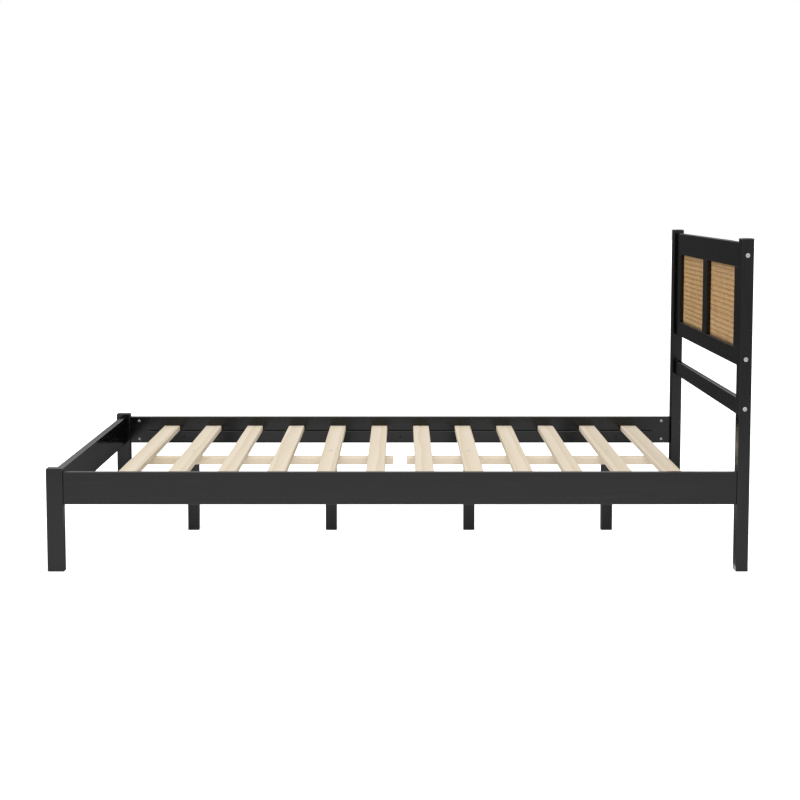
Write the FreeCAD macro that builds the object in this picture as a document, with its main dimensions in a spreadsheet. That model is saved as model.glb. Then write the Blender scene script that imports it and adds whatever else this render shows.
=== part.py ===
import FreeCAD, Part
import os
import re

import Sketcher
from FreeCAD import Placement, Rotation, Vector

# Platform bed with a cane headboard. X runs across the bed, +Y towards the head, +Z up.
# The origin lies on the floor under the middle of the bed. All sizes are in millimetres.

# Driving dimensions, kept in the sheet of the document
SIZES = {
    # Overall
    "bed_length": 2030,
    "bed_width": 1435,
    "headboard_height": 962,
    "arris_round": 2.5,
    "upright_chamfer": 2,
    # Legs at the foot and posts at the head
    "leg_depth": 48,
    "leg_width": 38,
    "leg_height": 301.5,
    "post_depth": 35,
    "post_width": 57,
    # Side rails and foot rail
    "rail_thickness": 22,
    "rail_height": 94.5,
    "rail_bottom": 195.5,
    "rail_setback": 8,
    # Ledgers along the side rails
    "deck_drop": 50,
    "ledger_width": 20,
    "ledger_height": 40,
    "ledger_end_gap": 66,
    "batten_chamfer": 1.5,
    # Slats
    "slat_count": 12,
    "slat_width": 56,
    "slat_thickness": 18,
    "slat_end_gap": 3,
    "slat_row_gap": 123.5,
    "slat_chamfer": 2,
    # Centre beam in two halves, on four legs
    "beam_width": 40,
    "beam_thickness": 24.5,
    "beam_gap": 42,
    "beam_end_inset": 10,
    "centre_leg_width": 36,
    # Headboard boards
    "board_thickness": 18,
    "post_rise": 12,
    "top_rail_height": 72.5,
    "panel_height": 236.5,
    "panel_rail_height": 49.5,
    "rail_gap": 93.5,
    "cross_rail_height": 49,
    "stile_width": 110,
    "mullion_width": 85,
    # Tenons of the stiles, the mullion and the foot rail
    "tenon_length": 16,
    "tenon_thickness": 6,
    "tenon_shoulder": 12,
    "foot_tenon_height": 50,
    "mortise_gap": 0.1,
    # Cane panels and the beads that hold them
    "rebate_width": 8,
    "rebate_depth": 5,
    "cane_thickness": 2,
    "cane_gap": 0.5,
    "cane_column_count": 8,
    "cane_row_count": 4,
    "cane_band": 28,
    "bead_round": 1,
    # Connector bolts and barrel nuts
    "bolt_diameter": 6,
    "bolt_head_diameter": 13,
    "bolt_head_thickness": 2.5,
    "bolt_socket_width": 4,
    "bolt_socket_depth": 1.8,
    "bolt_tip_setback": 4,
    "board_bolt_reach": 45,
    "bolt_spacing": 66,
    "bolt_gap": 0.5,
    "bore_end_gap": 2,
    "nut_diameter": 10,
    "nut_length": 16,
    "nut_setback": 32,
    "nut_recess": 1.5,
    "fit_gap": 0.2,
    # Countersunk screws of the centre legs
    "countersink_angle": 90,
    "leg_screw_diameter": 6,
    "leg_screw_head_diameter": 13,
    "leg_screw_grip": 38,
    "seat_gap": 0.5,
    # What every cut runs past its face
    "overrun": 1,
}

# Sizes and places worked out from the driving dimensions
RULES = {
    "half_width": "bed_width / 2",
    "half_length": "bed_length / 2",
    "inner_length": "bed_length - leg_depth - post_depth",
    "middle_y": "(leg_depth - post_depth) / 2",
    "leg_x": "half_width - leg_width / 2",
    "leg_y": "half_length - leg_depth / 2",
    "post_x": "half_width - post_width / 2",
    "post_y": "half_length - post_depth / 2",
    "rail_x": "half_width - rail_setback - rail_thickness / 2",
    "rail_z": "rail_bottom + rail_height / 2",
    "deck_height": "rail_bottom + rail_height - deck_drop",
    "rail_inner_x": "half_width - rail_setback - rail_thickness",
    "foot_rail_length": "bed_width - 2 * leg_width",
    "ledger_x": "rail_inner_x - ledger_width / 2",
    "ledger_z": "deck_height - ledger_height / 2",
    "ledger_length": "inner_length - 2 * ledger_end_gap",
    "slat_length": "2 * rail_inner_x - 2 * slat_end_gap",
    "slat_z": "deck_height + slat_thickness / 2",
    "slat_top": "deck_height + slat_thickness",
    "slat_row_half": "inner_length / 2 - slat_row_gap - slat_width / 2",
    "slat_pitch": "2 * slat_row_half / (slat_count - 1)",
    "beam_z": "deck_height - beam_thickness / 2",
    "beam_outer_y": "slat_row_half + slat_width / 2 - beam_end_inset",
    "beam_length": "beam_outer_y - beam_gap / 2",
    "beam_middle_y": "(beam_outer_y + beam_gap / 2) / 2",
    "centre_leg_height": "deck_height - beam_thickness",
    "board_length": "bed_width - 2 * post_width",
    "top_rail_z": "headboard_height - post_rise - top_rail_height / 2",
    "panel_top": "headboard_height - post_rise - top_rail_height",
    "panel_z": "panel_top - panel_height / 2",
    "panel_rail_top": "panel_top - panel_height",
    "panel_rail_z": "panel_rail_top - panel_rail_height / 2",
    "cross_rail_z": "panel_rail_top - panel_rail_height - rail_gap - cross_rail_height / 2",
    "stile_x": "board_length / 2 - stile_width / 2",
    "opening_width": "(board_length - 2 * stile_width - mullion_width) / 2",
    "opening_x": "(mullion_width + opening_width) / 2",
    "rebate_length": "opening_width + 2 * rebate_width",
    "rebate_height": "panel_height + 2 * rebate_width",
    "board_back_y": "post_y + board_thickness / 2",
    "cane_width": "rebate_length - 2 * cane_gap",
    "cane_height": "rebate_height - 2 * cane_gap",
    "cane_column_pitch": "opening_width / cane_column_count",
    "cane_row_pitch": "panel_height / cane_row_count",
    "cane_y": "board_back_y - rebate_depth + cane_thickness / 2",
    "bead_thickness": "rebate_depth - cane_thickness",
    "bead_y": "board_back_y - bead_thickness / 2",
    "bolt_bore": "bolt_diameter + 2 * bolt_gap",
    "bolt_head_bore": "bolt_head_diameter + 2 * bolt_gap",
    "bolt_reach": "nut_setback + nut_diameter / 2 - bolt_tip_setback",
    "thread_bore": "bolt_diameter + fit_gap",
    "nut_bore": "nut_diameter + 2 * fit_gap",
    "nut_y": "inner_length / 2 - nut_setback",
    "mortise_thickness": "tenon_thickness + 2 * mortise_gap",
    "mortise_depth": "tenon_length + seat_gap",
    "leg_screw_length": "slat_thickness + beam_thickness + leg_screw_grip",
    "leg_screw_bore": "leg_screw_diameter + fit_gap",
    "leg_screw_head_bore": "leg_screw_head_diameter + fit_gap",
}

# Sides of the bed, seen by someone who looks from the foot towards the head
SIDES = {"left": -1, "right": 1}

# Turns of a piece whose own axis is +Z, named by the way that this axis then points
UP = Rotation()
TO_LEFT = Rotation(Vector(0, 1, 0), -90)
TO_RIGHT = Rotation(Vector(0, 1, 0), 90)
TO_FOOT = Rotation(Vector(1, 0, 0), 90)
TO_HEAD = Rotation(Vector(1, 0, 0), -90)

# Half a turn about the upright axis, and one about the axis of the length
ABOUT_FACE = Rotation(Vector(0, 0, 1), 180)
UPSIDE_DOWN = Rotation(Vector(0, 1, 0), 180)

# How far apart two points may lie and still count as level
LEVEL = 0.001

doc = FreeCAD.newDocument("platform_bed")
sheet = doc.addObject("Spreadsheet::Sheet", "Sizes")
for row, (alias, number) in enumerate(SIZES.items(), start=1):
    sheet.set(f"A{row}", alias)
    sheet.set(f"B{row}", str(number))
    sheet.setAlias(f"B{row}", alias)
doc.recompute()

pieces = {}


# Expressions

def formula(text):
    """Spells a sum of named sizes out as an expression on the sheet."""
    def spell(match):
        name = match.group(0)
        return f"({formula(RULES[name])})" if name in RULES else f"Sizes.{name}"
    return re.sub(r"[a-z]+(?:_[a-z]+)*", spell, text)


def bind(thing, path, text):
    thing.setExpression(path, formula(text))


def how_many(alias):
    return int(round(sheet.get(alias)))


def place(thing, x="0", y="0", z="0", turn=UP):
    thing.Placement = Placement(Vector(), turn)
    for axis, text in zip("xyz", (x, y, z)):
        bind(thing, f"Placement.Base.{axis}", text)


# Sketches

def draw_on(body, plane, title, offset="0"):
    """Starts a sketch on one of the body's own planes, moved along its normal."""
    sketch = body.newObject("Sketcher::SketchObject", title)
    face = next(item for item in body.Origin.OriginFeatures if item.Role == plane)
    sketch.AttachmentSupport = (face, [""])
    sketch.MapMode = "FlatFace"
    bind(sketch, "AttachmentOffset.Base.z", offset)
    return sketch


def measure(sketch, kind, ends, text):
    index = sketch.addConstraint(Sketcher.Constraint(kind, *ends, 1))
    bind(sketch, f"Constraints[{index}]", text)


def locate(sketch, item, point, x, y):
    """Fixes one point of a sketch by its distances from the sketch's origin."""
    for kind, axis, text in (("DistanceX", -2, x), ("DistanceY", -1, y)):
        if text == "0":
            sketch.addConstraint(Sketcher.Constraint("PointOnObject", item, point, axis))
        else:
            measure(sketch, kind, (-1, 1, item, point), text)


def closed_lines(sketch, corners):
    first = sketch.GeometryCount
    ends = corners[1:] + corners[:1]
    sketch.addGeometry([Part.LineSegment(start, end) for start, end in zip(corners, ends)])
    for line in range(len(corners)):
        following = first + (line + 1) % len(corners)
        sketch.addConstraint(Sketcher.Constraint("Coincident", first + line, 2, following, 1))
    return first


def rectangle(sketch, width, height, left=None, bottom=None):
    """Draws a rectangle about the origin, or from its lower left corner."""
    corners = [Vector(-1, -1), Vector(1, -1), Vector(1, 1), Vector(-1, 1)]
    first = closed_lines(sketch, corners)
    for line in (first, first + 2):
        sketch.addConstraint(Sketcher.Constraint("Horizontal", line))
        sketch.addConstraint(Sketcher.Constraint("Vertical", line + 1))
    measure(sketch, "DistanceX", (first, 1, first, 2), width)
    measure(sketch, "DistanceY", (first + 1, 1, first + 1, 2), height)
    if left is None:
        sketch.addConstraint(Sketcher.Constraint("Symmetric", first, 1, first + 2, 1, -1, 1))
    else:
        locate(sketch, first, 1, left, bottom)


def polygon(sketch, points):
    """Draws a closed outline through points given as pairs of named sums."""
    turns = [Vector(1, 0), Vector(1, 1), Vector(0, 1), Vector(-1, 1), Vector(-1, 0), Vector(-1, -1)]
    first = closed_lines(sketch, turns[:len(points)])
    for number, (x, y) in enumerate(points):
        locate(sketch, first + number, 1, x, y)


def circles(sketch, places, diameter):
    for x, y in places:
        item = sketch.addGeometry(Part.Circle(Vector(1, 1), Vector(0, 0, 1), 1))
        locate(sketch, item, 3, x, y)
        measure(sketch, "Diameter", (item,), diameter)


def hexagon(sketch, width):
    """Draws a hexagon about the origin, measured across its flats."""
    corners = [Rotation(Vector(0, 0, 1), 60 * turn).multVec(Vector(1, 0)) for turn in range(6)]
    first = closed_lines(sketch, corners)
    for line in range(first, first + 5):
        sketch.addConstraint(Sketcher.Constraint("Equal", line, line + 1))
    rim = sketch.addGeometry(Part.Circle(Vector(), Vector(0, 0, 1), 1), True)
    sketch.addConstraint(Sketcher.Constraint("Coincident", rim, 3, -1, 1))
    for line in range(first, first + 6):
        sketch.addConstraint(Sketcher.Constraint("PointOnObject", line, 1, rim))
    sketch.addConstraint(Sketcher.Constraint("PointOnObject", first, 1, -1))
    measure(sketch, "DistanceY", (first + 4, 1, first + 1, 1), width)


# Features

def new_body(label):
    body = doc.addObject("PartDesign::Body", label)
    body.Label = label
    return body


def pad(body, sketch, length, side="Symmetric", backwards=False):
    feature = body.newObject("PartDesign::Pad", "Pad")
    feature.Profile = sketch
    feature.SideType = side
    feature.Reversed = backwards
    bind(feature, "Length", length)
    doc.recompute()
    return feature


def must_shrink(body, before):
    """Stops the build where a cut has pointed away from the solid."""
    doc.recompute()
    if body.Tip.Shape.isNull() or body.Tip.Shape.Volume >= before:
        raise RuntimeError(f"a cut in {body.Label} removed nothing")


def pocket(body, sketch, depth, backwards=False):
    before = body.Tip.Shape.Volume
    feature = body.newObject("PartDesign::Pocket", "Pocket")
    feature.Profile = sketch
    feature.Reversed = backwards
    bind(feature, "Length", depth)
    must_shrink(body, before)
    return feature


def repeat(body, cut, columns, rows):
    """Repeats a cut along both axes of its sketch: (how many, how far apart) for each."""
    grid = body.newObject("PartDesign::LinearPattern", "Grid")
    grid.Originals = [cut]
    for second, axis, (count, pitch) in (("", "H_Axis", columns), ("2", "V_Axis", rows)):
        setattr(grid, f"Direction{second}", (cut.Profile[0], [axis]))
        setattr(grid, f"Mode{second}", "Extent")
        bind(grid, f"Occurrences{second}", count)
        bind(grid, f"Length{second}", f"({count} - 1) * {pitch}")
    body.Tip = grid
    must_shrink(body, cut.Shape.Volume)


def drill(body, face, places, bore, depth=None, head=None, head_depth=None):
    """Drills holes into a face: (plane, offset, whether the drill follows the normal).

    A head alone is countersunk, and a head with a depth is counterbored.
    """
    plane, offset, backwards = face
    sketch = draw_on(body, plane, "Holes", offset)
    circles(sketch, places, bore)
    doc.recompute()
    before = body.Tip.Shape.Volume
    hole = body.newObject("PartDesign::Hole", "Hole")
    hole.Profile = sketch
    doc.recompute()
    hole.ThreadType = "None"
    hole.DrillPoint = "Flat"
    hole.Reversed = backwards
    hole.DepthType = "Dimension" if depth else "ThroughAll"
    bind(hole, "Diameter", bore)
    if depth:
        bind(hole, "Depth", depth)
    if head:
        hole.HoleCutType = "Counterbore" if head_depth else "Countersink"
        hole.HoleCutCustomValues = True
        bind(hole, "HoleCutDiameter", head)
    if head_depth:
        bind(hole, "HoleCutDepth", head_depth)
    elif head:
        bind(hole, "HoleCutCountersinkAngle", "countersink_angle")
    must_shrink(body, before)


def dress(body, kind, amount, wanted):
    """Rounds or chamfers the edges of the body that the test picks."""
    base = body.Tip
    names = [f"Edge{number}" for number, edge in enumerate(base.Shape.Edges, start=1) if wanted(edge)]
    feature = body.newObject(f"PartDesign::{kind}", kind)
    feature.Base = (base, names)
    bind(feature, "Radius" if kind == "Fillet" else "Size", amount)
    doc.recompute()


def runs_along(edge, axis):
    start, end = (vertex.Point for vertex in (edge.Vertexes[0], edge.Vertexes[-1]))
    return (end - start).Length > LEVEL and (end - start).cross(axis).Length < LEVEL


# Planks, each with its length along one axis of its body

AXES = {"YZ_Plane": Vector(1, 0, 0), "XZ_Plane": Vector(0, 1, 0), "XY_Plane": Vector(0, 0, 1)}


def plank(label, plane, width, height, length, easing=None, wanted=lambda edge: True, kind="Fillet"):
    """Makes a planed plank about its own middle, with its long edges rounded or chamfered."""
    body = new_body(label)
    section = draw_on(body, plane, "Section")
    rectangle(section, width, height)
    pad(body, section, length)
    if easing:
        dress(body, kind, easing, lambda edge: runs_along(edge, AXES[plane]) and wanted(edge))
    pieces[label] = body
    return body


def batten(label, plane, width, height, length):
    """Makes a plain plank with small chamfers along its edges."""
    return plank(label, plane, width, height, length, "batten_chamfer", kind="Chamfer")


def tenon(body, plane, end, width, thickness):
    """Adds a tenon past one end of a plank, named by the sum that gives that end's face."""
    backwards = end.startswith("-")
    section = draw_on(body, plane, "Tenon", end)
    rectangle(section, width, thickness)
    pad(body, section, "tenon_length", "One side", backwards)


def mortise(body, face, rectangles):
    """Cuts mortises into a face: (width, height, left, bottom) each."""
    plane, offset, backwards = face
    sketch = draw_on(body, plane, "Mortises", offset)
    for width, height, left, bottom in rectangles:
        rectangle(sketch, width, height, left, bottom)
    pocket(body, sketch, "mortise_depth", backwards)


def upright(label, width, depth, height):
    """Makes a leg or post that stands on its own origin, chamfered all round but for its foot."""
    body = new_body(label)
    section = draw_on(body, "XY_Plane", "Section")
    rectangle(section, width, depth)
    pad(body, section, height, "One side")
    dress(body, "Chamfer", "upright_chamfer", lambda edge: edge.BoundBox.ZMax > LEVEL)
    pieces[label] = body
    return body


def rail_bolt_places(x):
    """Gives the two bolt axes of a side rail's end, in the plane across the bed."""
    return [(x, "rail_z + bolt_spacing / 2"), (x, "rail_z - bolt_spacing / 2")]


# Legs, posts and rails

def foot_leg(side, sign):
    leg = upright(f"foot_leg_{side}", "leg_width", "leg_depth", "leg_height")
    place(leg, f"{sign} * leg_x", "-leg_y")
    bolt_x = f"{sign} * (rail_x - leg_x)"
    outer_face = ("XZ_Plane", "leg_depth / 2", False)
    drill(leg, outer_face, rail_bolt_places(bolt_x), "bolt_bore",
          head="bolt_head_bore", head_depth="bolt_head_thickness")
    height = "foot_tenon_height + 2 * mortise_gap"
    inner_face = ("YZ_Plane", f"{-sign} * leg_width / 2", sign > 0)
    mortise(leg, inner_face, [("mortise_thickness", height, "-mortise_thickness / 2",
                               f"rail_z - ({height}) / 2")])


def head_post(side, sign):
    post = upright(f"head_post_{side}", "post_width", "post_depth", "headboard_height")
    place(post, f"{sign} * post_x", "post_y")
    bolt_x = f"{sign} * (rail_x - post_x)"
    back_face = ("XZ_Plane", "-post_depth / 2", True)
    drill(post, back_face, rail_bolt_places(bolt_x), "bolt_bore",
          head="bolt_head_bore", head_depth="bolt_head_thickness")
    boards = [("0", height) for height in ("top_rail_z", "panel_rail_z", "cross_rail_z")]
    outer_face = ("YZ_Plane", f"{sign} * post_width / 2", sign < 0)
    drill(post, outer_face, boards, "bolt_bore",
          head="bolt_head_bore", head_depth="bolt_head_thickness")


def side_rail(side, turn):
    """Makes a side rail with its inner face towards -X, turned about for the left side."""
    rail = plank(f"side_rail_{side}", "XZ_Plane", "rail_thickness", "rail_height", "inner_length",
                 "arris_round")
    place(rail, f"{SIDES[side]} * rail_x", "middle_y", "rail_z", turn)
    bolts = [("0", "bolt_spacing / 2"), ("0", "-bolt_spacing / 2")]
    drill(rail, ("XZ_Plane", "inner_length / 2", False), bolts, "bolt_bore", "nut_setback")
    drill(rail, ("XZ_Plane", "-inner_length / 2", True), bolts, "bolt_bore", "nut_setback")
    inner_face = ("YZ_Plane", "-rail_thickness / 2", True)
    nuts = [(f"{end}nut_y", f"{level}bolt_spacing / 2") for end in ("", "-") for level in ("", "-")]
    drill(rail, inner_face, nuts, "nut_bore", "nut_recess + nut_length + seat_gap")


def foot_rail():
    rail = plank("foot_rail", "YZ_Plane", "rail_thickness", "rail_height", "foot_rail_length",
                 "arris_round")
    place(rail, "0", "-leg_y", "rail_z")
    for end in ("", "-"):
        tenon(rail, "YZ_Plane", f"{end}foot_rail_length / 2", "tenon_thickness", "foot_tenon_height")


# Slats, ledgers and the centre beam

def slat_places():
    """Gives the place of each slat along the bed, from the middle of the row."""
    last = how_many("slat_count") - 1
    return [f"({number} - {last} / 2) * slat_pitch" for number in range(last + 1)]


def leg_slats():
    """Numbers the slats that stand over a centre leg, counted from nought."""
    last = how_many("slat_count") - 1
    return [1, 4, last - 4, last - 1]


def slat_ledger(side, sign):
    ledger = batten(f"slat_ledger_{side}", "XZ_Plane", "ledger_width", "ledger_height", "ledger_length")
    place(ledger, f"{sign} * ledger_x", "middle_y", "ledger_z")


def slat(number, row, over_leg):
    board = plank(f"slat_{number:02d}", "YZ_Plane", "slat_width", "slat_thickness", "slat_length",
                  "slat_chamfer", kind="Chamfer")
    place(board, "0", f"middle_y + {row}", "slat_z")
    if over_leg:
        top_face = ("XY_Plane", "slat_thickness / 2", False)
        drill(board, top_face, [("0", "0")], "leg_screw_bore", head="leg_screw_head_bore")


def centre_beam(end, sign, turn):
    """Makes half of the centre beam as it lies at the head, turned about for the foot."""
    beam = batten(f"centre_beam_{end}", "XZ_Plane", "beam_width", "beam_thickness", "beam_length")
    place(beam, "0", f"middle_y + {sign} * beam_middle_y", "beam_z", turn)
    rows = [slat_places()[number] for number in leg_slats()[2:]]
    legs = [("0", f"{row} - beam_middle_y") for row in rows]
    drill(beam, ("XY_Plane", "beam_thickness / 2", False), legs, "leg_screw_bore")


def centre_leg(number, row):
    leg = batten(f"centre_leg_{number}", "XY_Plane", "centre_leg_width", "centre_leg_width",
                 "centre_leg_height")
    place(leg, "0", f"middle_y + {row}", "centre_leg_height / 2")
    drill(leg, ("XY_Plane", "centre_leg_height / 2", False), [("0", "0")], "leg_screw_bore",
          "leg_screw_grip + bore_end_gap")


# Headboard

def bore_ends(board):
    """Bores both ends of a headboard rail for its bolts."""
    for end, backwards in (("", False), ("-", True)):
        face = ("YZ_Plane", f"{end}board_length / 2", backwards)
        drill(board, face, [("0", "0")], "thread_bore", "board_bolt_reach + bore_end_gap")


def framed_board(label, height, z, panel_side):
    """Makes a rail beside the cane panels, rebated and mortised on that side."""
    def away_from_panel(edge):
        return panel_side * edge.BoundBox.ZMin < 0

    board = plank(label, "YZ_Plane", "board_thickness", height, "board_length",
                  "arris_round", away_from_panel)
    place(board, "0", "post_y", z)
    rebates = draw_on(board, "XZ_Plane", "Rebates", "-board_thickness / 2")
    bottom = f"{height} / 2 - rebate_width" if panel_side > 0 else f"-{height} / 2 - overrun"
    for sign in SIDES.values():
        left = f"{sign} * opening_x - rebate_length / 2"
        rectangle(rebates, "rebate_length", "rebate_width + overrun", left, bottom)
    pocket(board, rebates, "rebate_depth", True)
    face = ("XY_Plane", f"{panel_side} * {height} / 2", panel_side < 0)
    mortises = []
    for x, width in (("stile_x", "stile_width"), ("-stile_x", "stile_width"), ("0", "mullion_width")):
        wide = f"{width} - 2 * tenon_shoulder + 2 * mortise_gap"
        mortises.append((wide, "mortise_thickness", f"{x} - ({wide}) / 2", "-mortise_thickness / 2"))
    mortise(board, face, mortises)
    bore_ends(board)


def cross_rail():
    board = plank("headboard_cross_rail", "YZ_Plane", "board_thickness", "cross_rail_height",
                  "board_length", "arris_round")
    place(board, "0", "post_y", "cross_rail_z")
    bore_ends(board)


def panel_upright(label, x, width, panel_sides):
    """Makes a tenoned stile or mullion, rebated along each edge that meets a cane panel."""
    board = plank(label, "XY_Plane", width, "board_thickness", "panel_height")
    place(board, x, "post_y", "panel_z")
    rebates = draw_on(board, "XZ_Plane", "Rebates", "-board_thickness / 2")
    for sign in panel_sides:
        left = f"{width} / 2 - rebate_width" if sign > 0 else f"-{width} / 2 - overrun"
        rectangle(rebates, "rebate_width + overrun", "panel_height + 2 * overrun",
                  left, "-panel_height / 2 - overrun")
    pocket(board, rebates, "rebate_depth", True)
    for end in ("", "-"):
        tenon(board, "XY_Plane", f"{end}panel_height / 2", f"{width} - 2 * tenon_shoulder",
              "tenon_thickness")


def cane_panel(side, sign):
    """Makes a cane panel with a coarse grid of openings, each in place of several meshes."""
    panel = plank(f"cane_panel_{side}", "XZ_Plane", "cane_width", "cane_height", "cane_thickness")
    place(panel, f"{sign} * opening_x", "cane_y", "panel_z")
    opening = draw_on(panel, "XZ_Plane", "Opening", "-cane_thickness / 2 - overrun")
    rectangle(opening, "cane_column_pitch - cane_band", "cane_row_pitch - cane_band",
              "-opening_width / 2 + cane_band / 2", "-panel_height / 2 + cane_band / 2")
    first = pocket(panel, opening, "cane_thickness + 2 * overrun", True)
    repeat(panel, first, ("cane_column_count", "cane_column_pitch"),
           ("cane_row_count", "cane_row_pitch"))


# Groups of like pieces, each copied from one master that isn't a piece of the bed itself

def group(label, copies):
    """Joins placed copies of masters: (master, x, y, z, turn) each."""
    links = []
    for number, (master, x, y, z, turn) in enumerate(copies):
        link = doc.addObject("App::Link", f"{label}_{number}")
        link.LinkedObject = master
        place(link, x, y, z, turn)
        links.append(link)
    together = doc.addObject("Part::Compound", label)
    together.Label = label
    together.Links = links
    pieces[label] = together


def bead_strip(title, length):
    """Makes a mitred strip whose outer edge lies along -Z, rounded at its inner back edge."""
    body = new_body(title)
    section = draw_on(body, "XZ_Plane", "Mitre")
    polygon(section, [(f"-{length} / 2", "0"), (f"{length} / 2", "0"),
                      (f"{length} / 2 - rebate_width", "rebate_width"),
                      (f"-{length} / 2 + rebate_width", "rebate_width")])
    pad(body, section, "bead_thickness")

    def inner_back(edge):
        return runs_along(edge, AXES["YZ_Plane"]) and edge.BoundBox.ZMin > LEVEL and edge.BoundBox.YMin > LEVEL

    dress(body, "Fillet", "bead_round", inner_back)
    return body


def cane_beads(side, sign, long_strip, short_strip):
    middle = f"{sign} * opening_x"
    group(f"cane_beads_{side}", [
        (long_strip, middle, "bead_y", "panel_z - rebate_height / 2", UP),
        (long_strip, middle, "bead_y", "panel_z + rebate_height / 2", UPSIDE_DOWN),
        (short_strip, f"{middle} - rebate_length / 2", "bead_y", "panel_z", TO_RIGHT),
        (short_strip, f"{middle} + rebate_length / 2", "bead_y", "panel_z", TO_LEFT),
    ])


def connector_bolt(title, length):
    """Makes a flat-headed bolt with a hexagon socket, seated on its own XY plane."""
    body = new_body(title)
    head = draw_on(body, "XY_Plane", "Head")
    circles(head, [("0", "0")], "bolt_head_diameter")
    pad(body, head, "bolt_head_thickness", "One side")
    shank = draw_on(body, "XY_Plane", "Shank")
    circles(shank, [("0", "0")], "bolt_diameter")
    pad(body, shank, length, "One side", True)
    socket = draw_on(body, "XY_Plane", "Socket", "bolt_head_thickness")
    hexagon(socket, "bolt_socket_width")
    pocket(body, socket, "bolt_socket_depth")
    return body


def barrel_nut():
    """Makes a barrel nut along Z about the axis of its bolt."""
    body = new_body("barrel_nut_master")
    barrel = draw_on(body, "XY_Plane", "Barrel", "rail_thickness / 2 - nut_recess")
    circles(barrel, [("0", "0")], "nut_diameter")
    pad(body, barrel, "nut_length", "One side", True)
    thread = draw_on(body, "XZ_Plane", "Thread", "-nut_diameter / 2 - overrun")
    circles(thread, [("0", "0")], "thread_bore")
    pocket(body, thread, "overrun + nut_diameter - bolt_tip_setback + bolt_gap", True)
    return body


def leg_screw():
    """Turns a screw whose flat head lies in its own XY plane, with a hexagon socket."""
    body = new_body("leg_screw_master")
    outline = draw_on(body, "XZ_Plane", "Outline")
    head_depth = "(leg_screw_head_diameter - leg_screw_diameter) / 2"
    polygon(outline, [("0", "0"), ("leg_screw_head_diameter / 2", "0"),
                      ("leg_screw_diameter / 2", f"-{head_depth}"),
                      ("leg_screw_diameter / 2", "-leg_screw_length"), ("0", "-leg_screw_length")])
    turned = body.newObject("PartDesign::Revolution", "Turned")
    turned.Profile = outline
    turned.ReferenceAxis = (outline, ["V_Axis"])
    doc.recompute()
    socket = draw_on(body, "XY_Plane", "Socket")
    hexagon(socket, "bolt_socket_width")
    pocket(body, socket, "bolt_socket_depth")
    return body


def rail_fasteners():
    """Bolts the side rails to the legs and posts, with a barrel nut for each bolt."""
    leg_bolt = connector_bolt("foot_bolt_master", "leg_depth - bolt_head_thickness + bolt_reach")
    post_bolt = connector_bolt("head_bolt_master", "post_depth - bolt_head_thickness + bolt_reach")
    nut = barrel_nut()
    at_foot, at_head, nuts = [], [], []
    for sign, inwards in ((SIDES["left"], TO_RIGHT), (SIDES["right"], TO_LEFT)):
        x = f"{sign} * rail_x"
        for level in ("+", "-"):
            z = f"rail_z {level} bolt_spacing / 2"
            at_foot.append((leg_bolt, x, "-half_length + bolt_head_thickness", z, TO_FOOT))
            at_head.append((post_bolt, x, "half_length - bolt_head_thickness", z, TO_HEAD))
            nuts.append((nut, x, "middle_y - nut_y", z, inwards * ABOUT_FACE))
            nuts.append((nut, x, "middle_y + nut_y", z, inwards))
    group("foot_leg_bolts", at_foot)
    group("head_post_bolts", at_head)
    group("side_rail_barrel_nuts", nuts)


def headboard_bolts():
    bolt = connector_bolt("headboard_bolt_master", "post_width - bolt_head_thickness + board_bolt_reach")
    bolts = []
    for sign, outwards in ((SIDES["left"], TO_LEFT), (SIDES["right"], TO_RIGHT)):
        for z in ("top_rail_z", "panel_rail_z", "cross_rail_z"):
            bolts.append((bolt, f"{sign} * (half_width - bolt_head_thickness)", "post_y", z, outwards))
    group("headboard_bolts", bolts)


def centre_leg_screws():
    screw = leg_screw()
    rows = [slat_places()[number] for number in leg_slats()]
    group("centre_leg_screws", [(screw, "0", f"middle_y + {row}", "slat_top", UP) for row in rows])


# The whole bed

def build():
    for side, sign in SIDES.items():
        foot_leg(side, sign)
        head_post(side, sign)
        slat_ledger(side, sign)
        cane_panel(side, sign)
        panel_upright(f"headboard_stile_{side}", f"{sign} * stile_x", "stile_width", [-sign])
    for side, turn in (("right", UP), ("left", ABOUT_FACE)):
        side_rail(side, turn)
    foot_rail()
    for number, row in enumerate(slat_places()):
        slat(number + 1, row, number in leg_slats())
    centre_beam("head", 1, UP)
    centre_beam("foot", -1, ABOUT_FACE)
    for number, slat_number in enumerate(leg_slats(), start=1):
        centre_leg(number, slat_places()[slat_number])
    framed_board("headboard_top_rail", "top_rail_height", "top_rail_z", -1)
    framed_board("headboard_panel_rail", "panel_rail_height", "panel_rail_z", 1)
    cross_rail()
    panel_upright("headboard_mullion", "0", "mullion_width", [-1, 1])
    long_strip = bead_strip("long_bead_master", "rebate_length")
    short_strip = bead_strip("short_bead_master", "rebate_height")
    for side, sign in SIDES.items():
        cane_beads(side, sign, long_strip, short_strip)
    rail_fasteners()
    headboard_bolts()
    centre_leg_screws()
    doc.recompute()


def check():
    """Stops the build where an object failed or a piece has no sound solid."""
    for item in doc.Objects:
        if "Invalid" in item.State or "Error" in item.State:
            raise RuntimeError(f"{item.Label} failed: {item.State}")
    for label, piece in pieces.items():
        if piece.Shape.isNull() or not piece.Shape.isValid() or not piece.Shape.Solids:
            raise RuntimeError(f"{label} has no sound solid")


build()
check()
os.makedirs("parts", exist_ok=True)
for label, piece in pieces.items():
    piece.Shape.exportStep(f"parts/{label}.step")
print(len(pieces), "pieces written")
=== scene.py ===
import math

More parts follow.
